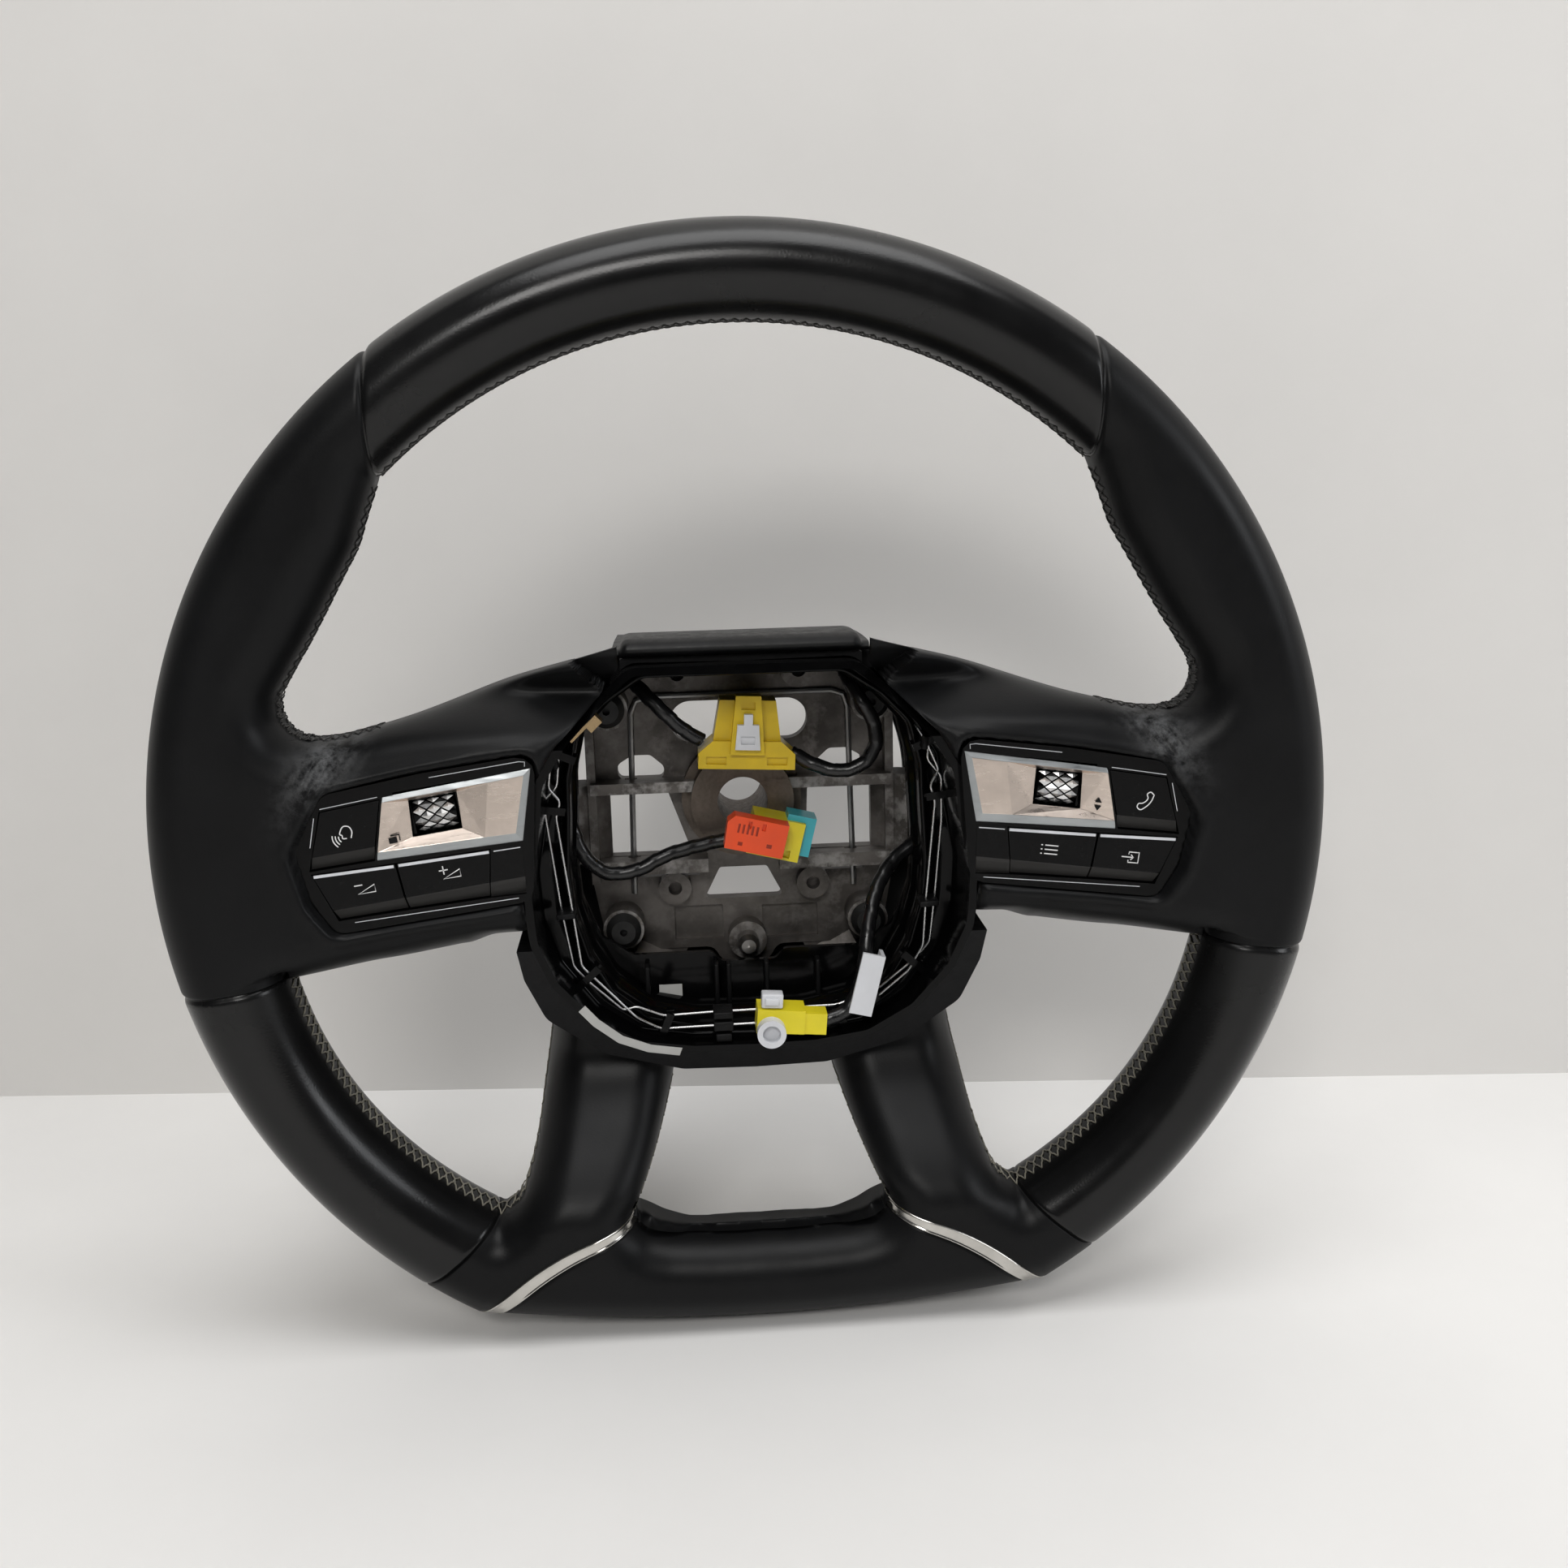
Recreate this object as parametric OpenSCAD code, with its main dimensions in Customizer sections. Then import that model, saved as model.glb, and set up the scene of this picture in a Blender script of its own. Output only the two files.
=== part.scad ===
/* [Rim] */
// Radius of the rim's round outline about the hub axis
rim_radius = 175.5; // [172:0.5:178]
// Height of the rim's centre above the hub axis
rim_rise = 1.5; // [1:0.25:2]
// Height of the flat bottom's middle above the lowest point that a round rim would reach
bottom_cut = 19.5; // [17:0.5:21]
// Width of the grip along the upper opening
grip_width = 27.5; // [25.5:0.5:28.5]
// Width of the grip along the lower side openings
low_grip_width = 31.3; // [29.5:0.1:32.5]
// Depth of the rim from front to back
rim_depth = 35; // [33:0.5:38]
// Distance from the hub boss's front face forward to the middle of the rim
rim_forward = 45; // [44:0.5:46]
// Width of the round edge of a grip, from its outline to its crest
edge_round = 13.5; // [12:0.5:15]

/* [Spokes] */
// How far in front of the hub face the side spokes' front lies
spoke_front = 58; // [57:0.5:59]
// Tilt of the switch modules, down towards the rim
module_tilt = 8; // [7.5:0.25:8.5]
// Width of the trims along the bottom grip
trim_width = 5; // [4:0.5:6]

/* [Hub] */
// Diameter of the steering column bore
column_bore = 16.5; // [14:0.5:18]
// Outer diameter of the hub boss
boss_diameter = 34; // [32:1:36]
// Length of the hub boss
boss_length = 38; // [34:1:42]
// Thickness of the armature's plate
plate_thick = 5; // [4:0.5:6]
// Diameter of the rubber bushes
bush_diameter = 9.6; // [9:0.2:10]
// Side of the armature ring's section inside the rim
ring_side = 12; // [11:0.5:13]

/* [Switches] */
// Travel of a key
key_travel = 0.8; // [0.6:0.1:1]
// Gap round a key
key_gap = 0.3; // [0.25:0.05:0.35]
// Radius of a thumb roller
roller_radius = 5.7; // [5.5:0.05:5.75]
// Length of a thumb roller
roller_length = 12.6; // [12.2:0.1:12.8]

/* [Hidden] */
$fn = 48;

inner_radius = rim_radius - grip_width;
low_radius = rim_radius - low_grip_width;
flat_drop = rim_radius - bottom_cut;
rim_y = -rim_forward;
half_depth = rim_depth / 2;
edge_half = 1.5;

// Places on the rim, as angles about the rim's centre from 3 o'clock
seam_x = 102;
seam_out = acos(seam_x / rim_radius);
seam_in = acos(seam_x / inner_radius);
low_seam = -13.6;
low_seam_in = -14.9;
toe_out = -52.8;
toe_in = -55.6;
corner_angle = -58.96;

// Outline of the upper opening beside the spoke, from the seam down round the thumb rest to the hub
thumb_angles = [43, 39.5, 35, 30, 26, 22.5];
thumb_drop = [3.6, 6.9, 8.3, 8.8, 8.2, 6.8];
thumb_lift = 0.6;
crotch = [125.5, 44.2];
crotch_round = 10;
crotch_angles = [10, -20, -45, -70, -95];
spoke_top = [[105, 37.6], [85, 43], [62, 51.2], [30, 60.6]];
spoke_low = [[138.6, -36.9], [112, -33.6], [88, -31.4], [55, -30.4]];

// Outline of the lower spoke on its outer and inner side, from the hub to the bottom grip
bar_height = 29;
bar_top = bar_height - flat_drop;
trim_top = bar_top + 8;
low_out = [
    [60, -45], [64, -62], [67.5, trim_top + 36], [72.4, trim_top + 12], [75.5, trim_top + 5.5]
];
low_in = [[15, -52], [22.7, -75], [31, trim_top + 20.4], [38, trim_top + 5], [40.5, trim_top]];
corner = on_rim(rim_radius, corner_angle);
trim_bend = [67, trim_top - 4];

function polar(r, a) = r * [cos(a), sin(a)];
function on_rim(r, a) = [0, rim_rise] + polar(r, a);
function clamp(t) = max(0, min(1, t));
function unit(v) = v / norm(v);
function smooth(t) = let (k = clamp(t)) k * k * (3 - 2 * k);
function mix(a, b, t) = a + (b - a) * t;
function bezier(a, b, c, t) = mix(mix(a, b, t), mix(b, c, t), t);
function segment_distance(p, a, b) =
    let (t = clamp(((p - a) * (b - a)) / ((b - a) * (b - a)))) norm(p - mix(a, b, t));
function line_distance(p, line) =
    min([for (i = [0:len(line) - 2]) segment_distance(p, line[i], line[i + 1])]);
// A point at a share of the way along a line of points
function along(line, t) =
    let (k = clamp(t) * (len(line) - 1), i = min(floor(k), len(line) - 2)) mix(line[i], line[i + 1], k - i);

// Corners of an outline rounded to a radius; a point on a straight stretch stays as it is
function corner_arc(a, p, b, r, n) =
    let (u = unit(a - p), v = unit(b - p)) u * v < -0.9995 ? [p] : turn_arc(a, p, b, u, v, r, n);
function turn_arc(a, p, b, u, v, r, n) =
    let (
        h = acos(u * v) / 2,
        reach = min(r / tan(h), 0.48 * min(norm(a - p), norm(b - p))),
        q = reach * tan(h),
        c = p + (u + v) / norm(u + v) * q / sin(h),
        d = p + u * reach - c,
        e = p + v * reach - c,
        w = 180 - 2 * h
    ) [for (k = [0:n]) c + (sin((1 - k / n) * w) * d + sin(k / n * w) * e) / sin(w)];
function rounded(pts, r, n = 3) =
    let (m = len(pts))
    [for (i = [0:m - 1]) each corner_arc(pts[(i + m - 1) % m], pts[i], pts[(i + 1) % m], r, n)];
// A half outline at x >= 0, from top to bottom, with its mirror image
function both_sides(half) =
    concat(half, [for (i = [len(half) - 1:-1:0]) if (half[i][0] > 0.01) [-half[i][0], half[i][1]]]);

function thumb_point(i) = polar(inner_radius + thumb_lift - thumb_drop[i], thumb_angles[i]);
opening_side = concat(
    [on_rim(inner_radius, seam_in)],
    [for (i = [0:len(thumb_angles) - 1]) thumb_point(i)],
    [for (a = crotch_angles) crotch + polar(crotch_round, a)],
    spoke_top
);
toe = on_rim(low_radius, toe_in);
low_side = concat(low_out, [toe]);
bar_bend = [[37, bar_top + 3.4], [30, bar_top + 0.8]];
bar_half = 22;
low_middle = concat(low_in, bar_bend, [[bar_half, bar_top], [-bar_half, bar_top]]);

// Radius of a lower side opening's edge, bowed outwards between the seam and the toe
low_bow = 2;
function low_reach(a) = low_radius + low_bow * sin(180 * clamp((a - low_seam_in) / (toe_in - low_seam_in)));

// Height of the bottom edge, bowed a little between the corners
function bottom_edge(x) = -flat_drop + (flat_drop + corner[1]) * pow(abs(x) / corner[0], 2);

// Distance from a point of the wheel's face to the nearest free edge; an edge that isn't near counts as far
far = 1000;
function edge_distance(q) =
    let (p = [abs(q[0]), q[1]], r = norm(p - [0, rim_rise]), a = atan2(p[1] - rim_rise, p[0]))
    min(
        rim_radius - r,
        p[1] - bottom_edge(p[0]),
        a > seam_in ? r - inner_radius : far,
        p[1] > 0 ? line_distance(p, opening_side) : line_distance(p, spoke_low),
        a < low_seam && a > toe_in ? abs(r - low_reach(a)) : far,
        p[1] < -30 ? line_distance(p, low_side) : far,
        p[1] < -40 ? line_distance(p, low_middle) : far
    );

// Shares of the side spoke and the lower spoke at a point
function side_share(p) =
    smooth((142 - p[0]) / 34) * (1 - smooth((p[1] - 42) / 16)) * smooth((p[1] + 58) / 18);
function low_share(p) =
    smooth((p[1] - trim_top) / 46) * smooth((86 - p[0]) / 10) * smooth((-22 - p[1]) / 20);
function hub_share(p) = smooth((112 - p[0]) / 44);
function top_share(p) = smooth((p[1] - 31) / 20) * smooth((104 - p[0]) / 50);

// Front and back of the wheel's padded surface
function crest_front(p) =
    mix(
        mix(rim_y - half_depth, -spoke_front + 26 * top_share(p), side_share(p)),
        -28,
        low_share(p)
    );
function crest_back(p) =
    mix(mix(rim_y + half_depth, mix(-20, 10, hub_share(p)), side_share(p)), 19, low_share(p));
function middle(p) = mix(mix(rim_y, mix(-40, -26, hub_share(p)), side_share(p)), -5, low_share(p));
function swell(p) = let (s = 1 - clamp(edge_distance(p) / edge_round)) sqrt(1 - s * s);
function front(q) =
    let (p = [abs(q[0]), q[1]]) mix(middle(p) - edge_half, crest_front(p), swell(p));
function back(q) = let (p = [abs(q[0]), q[1]]) mix(middle(p) + edge_half, crest_back(p), swell(p));

// Shares across a grip, close together at its round edges
across = 12;
function spread(j, n) = (1 - cos(180 * j / n)) / 2;

// Faces of a sheet of rows by columns of points, seen from its front
function sheet_faces(f, n, m) = [
    for (i = [0:n - 1], j = [0:m - 1], t = [0, 1])
        t == 0
            ? [f[i][j], f[i + 1][j], f[i + 1][j + 1]]
            : [f[i][j], f[i + 1][j + 1], f[i][j + 1]]
];
function strip_faces(a, b) = [
    for (i = [0:len(a) - 2], t = [0, 1])
        t == 0 ? [a[i], a[i + 1], b[i + 1]] : [a[i], b[i + 1], b[i]]
];
function turned(faces) = [for (f = faces) [f[2], f[1], f[0]]];
function row_index(n, m, base) = [for (i = [0:n]) [for (j = [0:m]) base + i * (m + 1) + j]];
function column(f, j) = [for (row = f) row[j]];
function joined(rows) = [for (row = rows) each row];
function front_points(flat) = [for (p = flat) [p[0], front(p), p[1]]];
function back_points(flat) = [for (p = flat) [p[0], back(p), p[1]]];

// A padded solid over rows of points in the wheel's plane
module padded(rows) {
    n = len(rows) - 1;
    m = len(rows[0]) - 1;
    flat = joined(rows);
    f = row_index(n, m, 0);
    b = row_index(n, m, len(flat));
    polyhedron(
        concat(front_points(flat), back_points(flat)),
        concat(
            sheet_faces(f, n, m),
            turned(sheet_faces(b, n, m)),
            strip_faces(column(b, 0), column(f, 0)),
            turned(strip_faces(column(b, m), column(f, m))),
            turned(strip_faces(b[0], f[0])),
            strip_faces(b[n], f[n])
        )
    );
}

// Rows of a grip between pairs of an outer and an inner point
function rows_between(pairs, m) =
    [for (p = pairs) [for (j = [0:m]) mix(p[0], p[1], spread(j, m))]];

// Extrudes an outline in the wheel's plane from one depth to another
module slab(y0, y1) {
    translate([0, y1, 0]) rotate([90, 0, 0]) linear_extrude(y1 - y0) children();
}
// A round bar along the depth
module peg(x, z, d, y0, y1) {
    translate([x, y1, z]) rotate([90, 0, 0]) cylinder(d = d, h = y1 - y0);
}
module box(low, high) {
    translate(low) cube(high - low);
}

// A tube swept along a route, with flat ends square to the route
function frame_x(t, side) = unit(cross(t, side));
module tube(route, r, sides, side = [0, 0, 1]) {
    n = len(route) - 1;
    rings = [
        for (i = [0:n])
            let (
                a = i == 0 ? route[1] - route[0] : route[i] - route[i - 1],
                b = i == n ? route[n] - route[n - 1] : route[i + 1] - route[i],
                t = unit(unit(a) + unit(b)),
                u = frame_x(t, side),
                v = cross(t, u)
            )
            each [
                for (k = [0:sides - 1])
                    let (a = 360 * k / sides) route[i] + r * (cos(a) * u + sin(a) * v)
            ]
    ];
    polyhedron(
        concat(rings, [route[0], route[n]]),
        concat(
            [
                for (i = [0:n - 1], k = [0:sides - 1], t = [0, 1])
                    let (p = i * sides + k, q = i * sides + (k + 1) % sides)
                    t == 0 ? [p, q, q + sides] : [p, q + sides, p + sides]
            ],
            [for (k = [0:sides - 1]) [(k + 1) % sides, k, len(rings)]],
            [for (k = [0:sides - 1]) [n * sides + k, n * sides + (k + 1) % sides, len(rings) + 1]]
        )
    );
}

// Armature

plate_front = 12;
plate_back = plate_front + plate_thick;
plate_half = [
    [0, 47.5], [28, 47.5], [44, 42], [51.5, 33], [51.5, -26], [47.5, -49], [38, -53.5],
    [11, -53.5], [8, -59], [0, -59]
];
bush_high = [43.2, 32];
bush_low = [41.1, -42.6];
boss_high = [20, 42.2];
boss_low = [23.4, -31];
pin_place = [0.5, -49.5];
arm_low = 3;
ring_radius = (rim_radius + inner_radius) / 2 - 1;
ring_low = 17;
arm_reach = ring_radius - ring_side / 2 + 2.25;
arm_bend = arm_reach - 7;
// Depth profile of a side arm from the plate to the ring, front edge out and back edge home
arm_profile = [
    [44, 12.5], [54, 4], [72, -10], [108, -38.5], [arm_bend, -50.5], [arm_reach, -50.5],
    [arm_reach, -39.5], [arm_bend, -39.5], [108, -28.5], [76, 0], [60, 13], [54, 16.5], [44, 16.5]
];
arm_width = 26;
low_arm_angle = -61.7;
low_arm_profile = [
    [44, 12.6], [60, 12.6], [90, -7], [122, -35], [arm_bend - 2, -50.5], [arm_reach + 1, -50.5],
    [arm_reach + 1, -39.5], [arm_bend, -39.5], [122, -26], [92, 2], [64, 16.5], [44, 16.5]
];
low_arm_width = 16;

module ring_outline(grow) {
    reach = ring_radius + ring_side / 2 + grow;
    intersection() {
        translate([0, rim_rise]) circle(reach, $fn = 120);
        translate([-reach, ring_low - flat_drop - ring_side / 2 - grow]) square(2 * reach);
    }
}
module ring() {
    slab(rim_y - ring_side / 2, rim_y + ring_side / 2) difference() {
        ring_outline(0);
        ring_outline(-ring_side);
    }
}
module arm(profile, width, turn) {
    rotate([0, -turn, 0]) translate([0, 0, -width / 2]) linear_extrude(width) polygon(profile);
}
module arms() {
    for (s = [0, 1]) mirror([s, 0, 0]) {
        translate([0, 0, arm_low - 10]) arm(arm_profile, arm_width, 0);
        arm(low_arm_profile, low_arm_width, low_arm_angle);
    }
}
module skeleton() {
    ring();
    arms();
}
module armature_ring() {
    color("dimgray") ring();
}
module boss() {
    peg(0, 0, boss_diameter, 0, boss_length);
    peg(0, 0, boss_diameter + 6, plate_front - 5, plate_back + 6);
}
module hub_insert() {
    color("gray") difference() {
        boss();
        peg(0, 0, column_bore, -1, boss_length + 1);
    }
}
module big_window(x_in_top, x_in_low) {
    polygon(rounded([[x_in_top, 3], [50, 3], [50, -20], [x_in_low, -20]], 2.5));
}
module dome_window() {
    polygon(rounded([[25.5, 6.5], [41, 6.5], [41, 11.5], [36, 14.5], [30, 14.5], [25.5, 10.5]], 2.5));
}
module windows() {
    translate([-16, 25.3]) circle(6.9);
    translate([16, 25.3]) circle(6.9);
    translate([-16, 18.4]) square([32, 13.8]);
    for (s = [0, 1]) mirror([s, 0, 0]) dome_window();
    big_window(22.5, 21.5);
    mirror([1, 0, 0]) big_window(25, 17);
    translate([20.7, -27.8]) square([20.5, 2.8]);
    translate([-36, -27.8]) square([21.3, 2.8]);
    polygon(rounded([[8, -25.4], [13.6, -36.4], [-13.6, -36.4], [-8, -25.4]], 1.2));
}
root = plate_back - 1;
module armature() {
    color("dimgray") difference() {
        union() {
            slab(plate_front, plate_back) difference() {
                polygon(rounded(both_sides(plate_half), 4));
                windows();
            }
            arms();
            for (x = [-1, 1]) {
                peg(x * bush_high[0], bush_high[1], bush_diameter + 4, 1, root);
                peg(x * bush_low[0], bush_low[1], bush_diameter + 4, 1, root);
                peg(x * boss_high[0], boss_high[1], 12, 7, root);
                peg(x * boss_low[0], boss_low[1], 11, 7.5, root);
                box([min(x * 12, x * 50), 3, 3.2], [max(x * 12, x * 50), root, 6.8]);
                box([min(x * 12, x * 50), 4, -24.8], [max(x * 12, x * 50), root, -20.2]);
            }
            peg(pin_place[0], pin_place[1], 13, 5, root);
            for (x = [-51, 48.2]) box([x, 6, -28], [x + 2.8, root, 30]);
        }
        ring();
        boss();
        for (x = [-1, 1]) {
            peg(x * bush_high[0], bush_high[1], bush_diameter, 0, 10);
            peg(x * bush_low[0], bush_low[1], bush_diameter, 0, 10);
            peg(x * boss_high[0], boss_high[1], 5, 5, 12);
            peg(x * boss_low[0], boss_low[1], 4.6, 6, 12);
        }
        peg(pin_place[0], pin_place[1], 5, 4, 13);
        for (x = [-38.8, 34.6]) box([x, plate_front - 2.2, -36], [x + 4.2, plate_front, 30]);
        slab(plate_front - 1, plate_front + 1.6) {
            translate([-24, -50.6]) square([16.6, 12]);
            translate([6, -51]) square([19, 11.6]);
        }
    }
}

wire_round_back = 1;
wire_y = plate_front - wire_round_back;
module retaining_wire() {
    color("silver") tube(
        [
            [-37.2, wire_y, -33], [-36.6, wire_y, -4], [-35.8, wire_y, 29], [-34, wire_y, 33],
            [-30, wire_y, 34.4], [31, wire_y, 34.4], [35, wire_y, 33], [36.4, wire_y, 29],
            [37, wire_y, -4], [37.6, wire_y, -33]
        ],
        wire_round_back, 8, [0, 1, 0]
    );
}

module locating_pin() {
    color("lightgray") translate([pin_place[0], 13, pin_place[1]]) rotate([90, 0, 0]) rotate_extrude()
        polygon([[0, 0], [2.5, 0], [2.5, 8], [3.6, 8], [3.6, 13], [2.4, 15.6], [0, 16]]);
}

module airbag_bushes() {
    bush = [
        [0, 0], [bush_diameter / 2, 0], [bush_diameter / 2, 9], [bush_diameter / 2 + 1, 9],
        [bush_diameter / 2 + 1, 10.4], [bush_diameter / 2 - 0.8, 12.6], [1.2, 12.6], [1.2, 10], [0, 10]
    ];
    color([0.03, 0.03, 0.03]) for (p = [bush_high, bush_low], s = [-1, 1])
        translate([s * p[0], 10, p[1]]) rotate([90, 0, 0]) rotate_extrude() polygon(bush);
}

// Padded grips

// The rows of points of the top grip between its seams, on a slant at each seam
function top_pairs(n) = [
    for (i = [0:n]) [
        on_rim(rim_radius, mix(seam_out, 180 - seam_out, i / n)),
        on_rim(inner_radius, mix(seam_in, 180 - seam_in, i / n))
    ]
];

module grip_top() {
    color([0.07, 0.07, 0.07]) difference() {
        padded(rows_between(top_pairs(18), across));
        skeleton();
    }
}

// A side grip: the rim's rows, some of which end at the gate, and the spoke's rows that start there
gate_low = [129, -35.7];
gate_high = crotch + polar(crotch_round, -95);
gate_rows = 10;
spoke_columns = 7;
spoke_end = [[62, -30.6], [60, 4], [57, 24], [50, 38], [31, 57]];
function side_pairs() = concat(
    [[on_rim(rim_radius, low_seam), on_rim(low_radius, low_seam_in)]],
    [
        for (i = [0:gate_rows])
            let (t = i / gate_rows)
            [on_rim(rim_radius, mix(-12.5, 13, t)), mix(gate_low, gate_high, spread(i, gate_rows))]
    ],
    [for (i = [3:-1:0]) [on_rim(rim_radius, 21 - 2 * i), crotch + polar(crotch_round, crotch_angles[i])]],
    [
        for (i = [5:-1:0])
            [on_rim(rim_radius, mix(24, seam_out, (5 - i) / 6)), thumb_point(i)]
    ],
    [[on_rim(rim_radius, seam_out), on_rim(inner_radius, seam_in)]]
);
function spoke_row(i) =
    let (a = mix(gate_low, gate_high, spread(i, gate_rows)), b = along(spoke_end, spread(i, gate_rows)))
    [
        for (j = [1:spoke_columns])
            let (
                x = mix(a[0], b[0], j / spoke_columns),
                low = along_x(spoke_low, x),
                high = along_x(concat([gate_high], spoke_top), x),
                t = spread(i, gate_rows)
            )
            [x, mix(low, high, t)]
    ];
// Height of a line of points at a given x, for a line that runs towards smaller x
function along_x(line, x) =
    let (
        i = max([0, for (k = [1:len(line) - 2]) if (line[k][0] >= x) k]),
        t = (line[i][0] - x) / (line[i][0] - line[i + 1][0])
    )
    mix(line[i][1], line[i + 1][1], t);

module side_padding() {
    rim = rows_between(side_pairs(), across);
    spoke = [for (i = [0:gate_rows]) spoke_row(i)];
    n = len(rim) - 1;
    m = across;
    k = spoke_columns;
    flat = concat(joined(rim), joined(spoke));
    total = len(flat);
    f = row_index(n, m, 0);
    b = row_index(n, m, total);
    start = (n + 1) * (m + 1);
    sf = [for (i = [0:gate_rows]) [for (j = [0:k]) j == 0 ? f[i + 1][m] : start + i * k + j - 1]];
    sb = [for (i = [0:gate_rows]) [for (j = [0:k]) j == 0 ? b[i + 1][m] : total + start + i * k + j - 1]];
    low_part = [f[0][m], f[1][m]];
    low_back = [b[0][m], b[1][m]];
    high_part = [for (i = [gate_rows + 1:n]) f[i][m]];
    high_back = [for (i = [gate_rows + 1:n]) b[i][m]];
    polyhedron(
        concat(front_points(flat), back_points(flat)),
        concat(
            sheet_faces(f, n, m),
            turned(sheet_faces(b, n, m)),
            sheet_faces(sf, gate_rows, k),
            turned(sheet_faces(sb, gate_rows, k)),
            strip_faces(column(b, 0), column(f, 0)),
            turned(strip_faces(low_back, low_part)),
            turned(strip_faces(high_back, high_part)),
            turned(strip_faces(b[0], f[0])),
            strip_faces(b[n], f[n]),
            turned(strip_faces(sb[0], sf[0])),
            strip_faces(sb[gate_rows], sf[gate_rows]),
            turned(strip_faces(column(sb, k), column(sf, k)))
        )
    );
}

panel_side = 37.4;
module side_grip() {
    difference() {
        side_padding();
        skeleton();
        frame_block();
        module_pocket();
        box([-panel_side, -90, 40], [panel_side, 40, 90]);
    }
}
module grip_left() {
    color([0.07, 0.07, 0.07]) mirror([1, 0, 0]) side_grip();
}
module grip_right() {
    color([0.07, 0.07, 0.07]) side_grip();
}

low_rows = 8;
module lower_grip() {
    difference() {
        padded(rows_between(
            [
                for (i = [0:low_rows])
                    let (a = mix(low_seam_in, toe_in, i / low_rows))
                    [on_rim(rim_radius, mix(low_seam, toe_out, i / low_rows)), on_rim(low_reach(a), a)]
            ],
            across
        ));
        skeleton();
    }
}
module grip_lower_left() {
    color([0.06, 0.06, 0.06]) mirror([1, 0, 0]) lower_grip();
}
module grip_lower_right() {
    color([0.06, 0.06, 0.06]) lower_grip();
}

// The trim's edge towards the spoke, and towards the bottom grip
function trim_edge(t) = bezier(low_in[4], trim_bend, corner, t);
function trim_foot(t) =
    let (a = low_in[4] + [-0.3, -0.5] * trim_width, c = [corner[0] - trim_width, bottom_edge(84)])
    bezier(a, trim_bend + [-0.6, -0.9] * trim_width, c, t);
edge_steps = 8;
function cover_pairs() = concat(
    [for (i = [0:4]) [low_out[i], i < 4 ? low_in[i] : mix(low_in[3], low_in[4], 0.4)]],
    [
        for (i = [0:edge_steps])
            let (t = i / edge_steps) [mix(toe, on_rim(rim_radius, toe_out), t), trim_edge(t)]
    ]
);
module lower_cover() {
    difference() {
        padded(rows_between(cover_pairs(), across));
        skeleton();
        frame_block();
    }
}
module spoke_cover_left() {
    color([0.06, 0.06, 0.06]) mirror([1, 0, 0]) lower_cover();
}
module spoke_cover_right() {
    color([0.06, 0.06, 0.06]) lower_cover();
}

bar_rows = 12;
bar_columns = edge_steps;
function bar_point(u, j) =
    let (
        w = pow(abs(u), 5),
        t = 1 - mix(spread(j, bar_columns), j / bar_columns, w),
        end = trim_edge(t),
        level = mix(bar_top, bottom_edge(end[0] * u), t)
    )
    [end[0] * u, mix(level, end[1], w)];
trim_over = [0.8, 1.4];
module trim_seat() {
    slab(-90, rim_y) polygon(concat(
        [trim_edge(0) + [-4, 3]],
        [for (i = [0:edge_steps]) trim_edge(i / edge_steps) + trim_over],
        [[100, -165]],
        [for (i = [edge_steps:-1:0]) trim_foot(i / edge_steps)]
    ));
}
module grip_bottom() {
    color([0.06, 0.06, 0.06]) difference() {
        padded([
            for (i = [0:bar_rows]) let (u = 1 - 2 * i / bar_rows)
                [for (j = [0:bar_columns]) bar_point(u, j)]
        ]);
        skeleton();
        trim_seat();
        mirror([1, 0, 0]) trim_seat();
    }
}

trim_proud = 0.6;
module trim_band() {
    rows = [
        for (i = [edge_steps:-1:0])
            let (t = i / edge_steps) [for (j = [0:3]) mix(trim_edge(t), trim_foot(t), j / 3)]
    ];
    n = len(rows) - 1;
    flat = joined(rows);
    f = row_index(n, 3, 0);
    b = row_index(n, 3, len(flat));
    polyhedron(
        concat([for (p = flat) [p[0], front(p) - trim_proud, p[1]]], [for (p = flat) [p[0], rim_y, p[1]]]),
        concat(
            sheet_faces(f, n, 3),
            turned(sheet_faces(b, n, 3)),
            strip_faces(column(b, 0), column(f, 0)),
            turned(strip_faces(column(b, 3), column(f, 3))),
            turned(strip_faces(b[0], f[0])),
            strip_faces(b[n], f[n])
        )
    );
}
module trim() {
    difference() {
        trim_band();
        skeleton();
    }
}
module trim_right() {
    color("gainsboro") trim();
}
module trim_left() {
    color("gainsboro") mirror([1, 0, 0]) trim();
}

// Frame round the airbag opening, and the cover behind it

frame_half = [
    [0, 50.2], [35, 50.2], [45, 42], [56, 31.5], [63, 20], [65, 4], [68, -14], [67, -30], [62, -45],
    [51, -60], [37, -69.5], [20, -72.5], [0, -73]
];
frame_wall = 2.5;
frame_front = -54;
frame_back = plate_front;
ledge_front = -7;
ledge_half = [
    [0, 45], [30, 45], [42, 38], [51, 30], [54, 4], [54, -26], [48, -42], [38, -49], [12, -49],
    [9, -52.5], [0, -52.5]
];
module frame_outline() {
    polygon(rounded(both_sides(frame_half), 8));
}
module frame_inside() {
    polygon(rounded(both_sides([for (p = frame_half) p - frame_wall * unit(p)]), 7));
}
module frame_block() {
    slab(-90, 40) frame_outline();
}
module airbag_frame() {
    color([0.02, 0.02, 0.02]) difference() {
        union() {
            slab(frame_front, frame_back) difference() {
                frame_outline();
                frame_inside();
            }
            slab(ledge_front, ledge_front + 2) difference() {
                frame_outline();
                polygon(rounded(both_sides(ledge_half), 3));
            }
            wire_clips();
        }
        skeleton();
        top_clearance();
        low_clearance();
        for (s = [0, 1]) mirror([s, 0, 0]) module_pocket();
        for (p = [bush_high, bush_low], s = [-1, 1]) peg(s * p[0], p[1], bush_diameter + 4.6, 0, 20);
    }
}
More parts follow.
